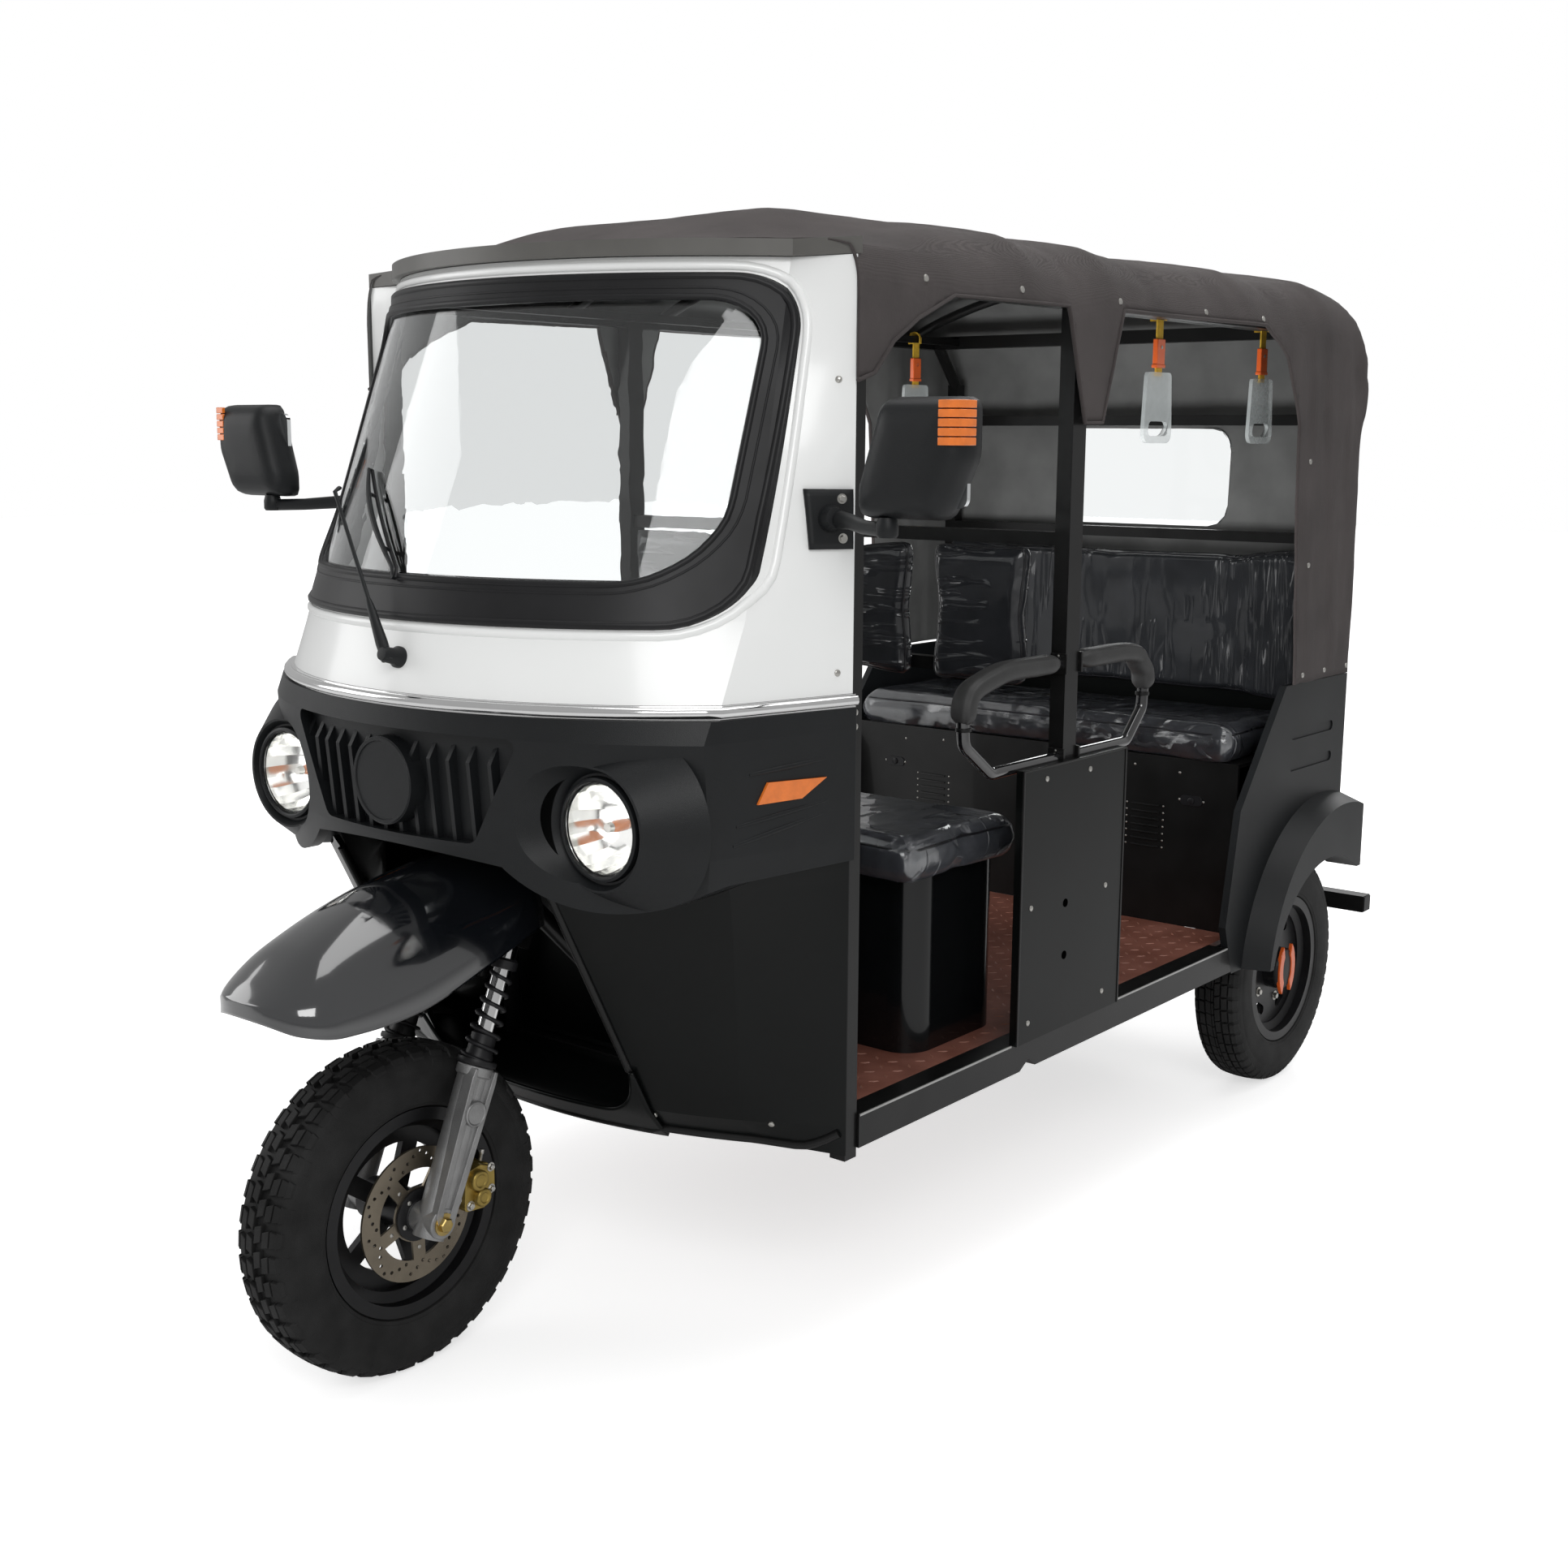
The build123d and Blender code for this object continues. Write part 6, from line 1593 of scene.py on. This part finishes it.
def shieldFace(setup, x, z, out):
    # a point on the shields' outer face
    rows = setup["plan"]
    i = max(k for k in range(len(rows) - 1) if z >= rows[k][0] or k == 0)
    share = (z - rows[i][0]) / (rows[i + 1][0] - rows[i][0])
    middle, radius = (rows[i][k] + (rows[i + 1][k] - rows[i][k]) * share for k in (1, 2))
    radius += out
    return Vector((x, frontY + middle - out + radius - math.sqrt(radius ** 2 - x ** 2), z))


def buildApron(setup):
    # the strip that joins the two shields behind the wheel, with rounded inner corners
    b = bmesh.new()
    grid, steps, levels = [], 64, 10
    reach = setup["gap"] + 0.012
    for i in range(steps + 1):
        x = reach * (i / steps * 2 - 1)
        bend = max(0.0, abs(x) - (setup["gap"] - setup["corner"])) / setup["corner"]
        top = setup["top"] + setup["corner"] * (1 - math.sqrt(max(0.0, 1 - min(bend, 1.0) ** 2)))
        heights = [setup["low"] + (top - setup["low"]) * j / levels for j in range(levels + 1)]
        grid.append([b.verts.new(shieldFace(setup, x, z, -0.0008)) for z in heights])
    for near, far in zip(grid, grid[1:]):
        for j in range(levels):
            b.faces.new((near[j], far[j], far[j + 1], near[j + 1]))
    addWall(makePiece("shieldApron", b, "panelBlack"), setup["wall"], 1)
    # splash tray from the strip back to the frame
    b = bmesh.new()
    tray = []
    for i in range(33):
        x = 0.475 * (i / 16 - 1)
        front = shieldFace(setup, x, setup["low"] + 0.008, -0.004)
        tray.append([b.verts.new(front.lerp(Vector((x, frontY + 0.500, 0.396)), j / 3)) for j in range(4)])
    for near, far in zip(tray, tray[1:]):
        for j in range(3):
            b.faces.new((near[j], far[j], far[j + 1], near[j + 1]))
    addWall(makePiece("splashTray", b, "panelBlack"), 0.003, 0)
    # rolled edge along the bottom, up the rear corner and along the gap
    b = bmesh.new()
    skin = skinOf("leg_shields")
    path = []
    for k in range(61):
        x = 0.5385 * (k / 30 - 1)
        lift = 0.0 if abs(x) < 0.43 else (abs(x) - 0.43) ** 2 * 3.2
        z = setup["low"] + 0.006 + lift
        if abs(x) < setup["gap"]:
            path.append(shieldFace(setup, x, z, 0.0))
        else:
            path.append(fromFront(skin, x, max(z, 0.353))[0])
    addTube(b, path, setup["roll"], 10, flat=0.8)
    for side in (-1, 1):
        edge = []
        for k in range(24):
            z = setup["top"] + setup["corner"] + (0.79 - setup["top"] - setup["corner"]) * k / 23
            edge.append(shieldFace(setup, side * (setup["gap"] + 0.001), z, -0.004))
        addTube(b, edge, 0.0065, 8)
    makePiece("shieldRolls", b, "chassisBlack", sharpAngle=80)


buildApron(apronSetup)

boxSetup = {
    "y": 1.900, "rows": 7, "firstRow": 0.668, "rowPitch": 0.0155,
    "latch": (0.3968, 0.689), "latchHalf": (0.026, 0.011),
}


def buildBoxFront(setup):
    louvres, latch, screws, dots = newMeshes(4)
    y = frontY + setup["y"]
    for side in (-1, 1):
        for row in range(setup["rows"]):
            z = setup["firstRow"] - row * setup["rowPitch"]
            for x in (0.240, 0.330):
                addBolt(dots, (side * x, y, z), (0, -1, 0), 0.0024, 0.0018, 12)
            # pressed slot between its two ends
            slot = [(side * x, y - out, z) for x, out in ((0.252, 0.0003), (0.286, 0.0014), (0.320, 0.0003))]
            addTube(louvres, slot, 0.0028, 8, flat=0.7)
        x, z = setup["latch"]
        w, h = setup["latchHalf"]
        outline = filletOutline([(-w, -h), (w, -h), (w, h), (-w, h)], (0.0095,) * 4, 5)
        addPrism(latch, outline, (side * x, y, z), (1, 0, 0), (0, 0, 1), 0.0022)
        addLathe(latch, [(0.0075, 0), (0.0075, 0.004), (0.0055, 0.0050), (0, 0.0050)], (side * x, y, z),
                 (0, -1, 0), 20)
        for way in (-1, 1):
            addBolt(screws, (side * x + way * 0.0285, y, z), (0, -1, 0), 0.0028, 0.002, 12)
        for dx, z in ((-0.14, 0.755), (-0.03, 0.748)):
            addBolt(screws, (side * (x + dx), y, z), (0, -1, 0), 0.0030, 0.002, 12)
    makePiece("boxRivets", dots, "boltSteel")
    makePiece("boxLouvres", louvres, "chassisBlack", sharpAngle=50)
    makePiece("boxLatches", latch, "steelDark", bevel=0.0005)
    makePiece("boxScrews", screws, "boltSteel")


buildBoxFront(boxSetup)

canopyTrimSetup = {"snaps": (0.626, 0.896, 1.22, 1.556, 1.802), "snapHeight": 1.702, "snap": 0.0062,
                   "curtainSnaps": ((2.075, 0.962), (2.075, 1.20), (2.060, 1.42), (2.20, 0.962), (2.32, 0.962))}


def buildCanopyTrim(setup):
    # snaps, and a bound hem along the door openings
    snaps, hem = newMeshes(2)
    bpy.context.view_layer.update()
    cloth = canopyPiece.evaluated_get(bpy.context.evaluated_depsgraph_get()).to_mesh()
    skin = BVHTree.FromPolygons([v.co.copy() for v in cloth.vertices],
                                [list(p.vertices) for p in cloth.polygons])
    for side in (-1, 1):
        for y, z in [(y, setup["snapHeight"]) for y in setup["snaps"]] + list(setup["curtainSnaps"]):
            place, normal, _, _ = skin.ray_cast(Vector((side * 1.5, frontY + y, z)), Vector((-side, 0, 0)))
            if place and abs(place.x) > 0.5:
                addBolt(snaps, place, normal if normal.x * side > 0 else -normal, setup["snap"], 0.0030, 12)
        doors = [(y, z) for y, z in canopySetup["doors"] if z > 0.9 and y > 0.44]
        path = []
        for (y0, z0), (y1, z1) in zip(doors, doors[1:]):
            count = max(1, int(math.dist((y0, z0), (y1, z1)) / 0.02))
            path += [(y0 + (y1 - y0) * k / count, z0 + (z1 - z0) * k / count) for k in range(count)]
        path.append(doors[-1])
        points = []
        for y, z in path:
            place, _, _, gap = skin.find_nearest(Vector((side * 0.56, frontY + y, z)))
            if place and abs(place.x) > 0.5 and gap < 0.05:
                points.append(place)
        addTube(hem, points, 0.0042, 8, flat=0.8)
    makePiece("canopySnaps", snaps, "boltSteel")
    makePiece("canopyHem", hem, "canopyCloth", sharpAngle=80)


buildCanopyTrim(canopyTrimSetup)
print("apron, seat box and canopy trim ready")

wiperSetup = {"hook": (-0.148, 0.074, 1.371), "bladeTop": (-0.184, 0.0895, 1.4055),
              "bladeLow": (-0.016, 0.0435, 1.248)}


def buildWiper(setup):
    b, rubber = newMeshes(2)
    at = {key: Vector((x, frontY + y, z)) for key, (x, y, z) in setup.items()}
    glass = skinOf("windscreen_glass", "windscreen_seal", "front_panel")
    ahead = Vector((0, -1, 0.25)).normalized()
    start, normal = fromFront(glass, 0.020, 1.134)
    addLathe(b, [(0.0165, -0.002), (0.0165, 0.006), (0.0125, 0.011), (0.0115, 0.030), (0.0095, 0.036),
                 (0, 0.037)], start, normal, 24)
    # arm: a flat head that narrows into a rod and hooks onto the blade
    top = start + normal * 0.028
    hook = at["hook"] + ahead * 0.024
    way = (hook - top).normalized()
    path = [top + way * along for along in (-0.010, 0.02, 0.085, 0.10)]
    path += [hook - way * 0.02, hook, hook + way * 0.010 - ahead * 0.012]
    addTube(b, path, [0.0085, 0.0095, 0.0060, 0.0034, 0.0030, 0.0034, 0.0045], 10, flat=0.75)
    # blade: a spine, four claws and the rubber that lies along the glass
    out, inward = Vector((0, -1, 0)), (0, 1, 0)
    high, low = (lands(glass, at[key] + out, inward)[0] for key in ("bladeTop", "bladeLow"))
    count = 12
    line = [lands(glass, high.lerp(low, k / count) + out, inward) for k in range(count + 1)]
    addTube(rubber, [p + n * 0.004 for p, n in line], 0.0034, 6)
    bow = [math.sin(math.pi * k / count) for k in range(count + 1)]
    spine = [p + n * (0.010 + 0.012 * bow[k]) for k, (p, n) in enumerate(line)]
    addTube(b, spine, [0.0026 + 0.0022 * rise for rise in bow], 8)
    for k in (0, 3, 9, 12):
        p, n = line[k]
        addTube(b, [p + n * 0.004, p + n * (0.012 + 0.012 * bow[k])], 0.0030, 8)
    makePiece("wiperArm", b, "noseBlack", node="wiper")
    makePiece("wiperRubber", rubber, "sealRubber", node="wiper")


buildWiper(wiperSetup)

rearSetup = {"lampX": 0.455, "lampLow": 0.700, "lampHigh": 0.860, "back": 2.3803, "bumperHalf": 0.540}


def buildRearTrim(setup):
    amber, frames, bolts, lines = newMeshes(4)
    for side in (-1, 1):
        x = side * setup["lampX"]
        y = frontY + setup["back"]
        high = setup["lampHigh"]
        # amber part over the red one, in a dark frame with ribs
        addBox(amber, (x, y - 0.0135, high - 0.026), (0.082, 0.030, 0.044))
        for z in (high - 0.003, high - 0.050, setup["lampLow"] + 0.003):
            addBox(frames, (x, y - 0.0150, z), (0.094, 0.036, 0.006))
        for dx in (-0.0455, 0.0455):
            addBox(frames, (x + dx, y - 0.0150, (high + setup["lampLow"]) / 2), (0.005, 0.036, 0.158))
        for k in range(5):
            addBox(lines, (x, y - 0.0006, setup["lampLow"] + 0.018 + 0.018 * k), (0.080, 0.003, 0.002))
        for z in (high - 0.026, setup["lampLow"] + 0.012):
            addBolt(bolts, (x + side * 0.034, y + 0.0008, z), (0, 1, 0), 0.003, 0.002, 12)
        # plugs in the bumper's ends
        addBox(frames, (side * (setup["bumperHalf"] + 0.0012), frontY + 2.570, 0.3547), (0.004, 0.036, 0.036))
    makePiece("lampAmbers", amber, "amberLens", bevel=0.002)
    makePiece("lampFrames", frames, "sealRubber", bevel=0.001)
    makePiece("lampRibs", lines, "redLens")
    makePiece("lampScrews", bolts, "boltSteel")


buildRearTrim(rearSetup)
print("wiper and rear trim ready")
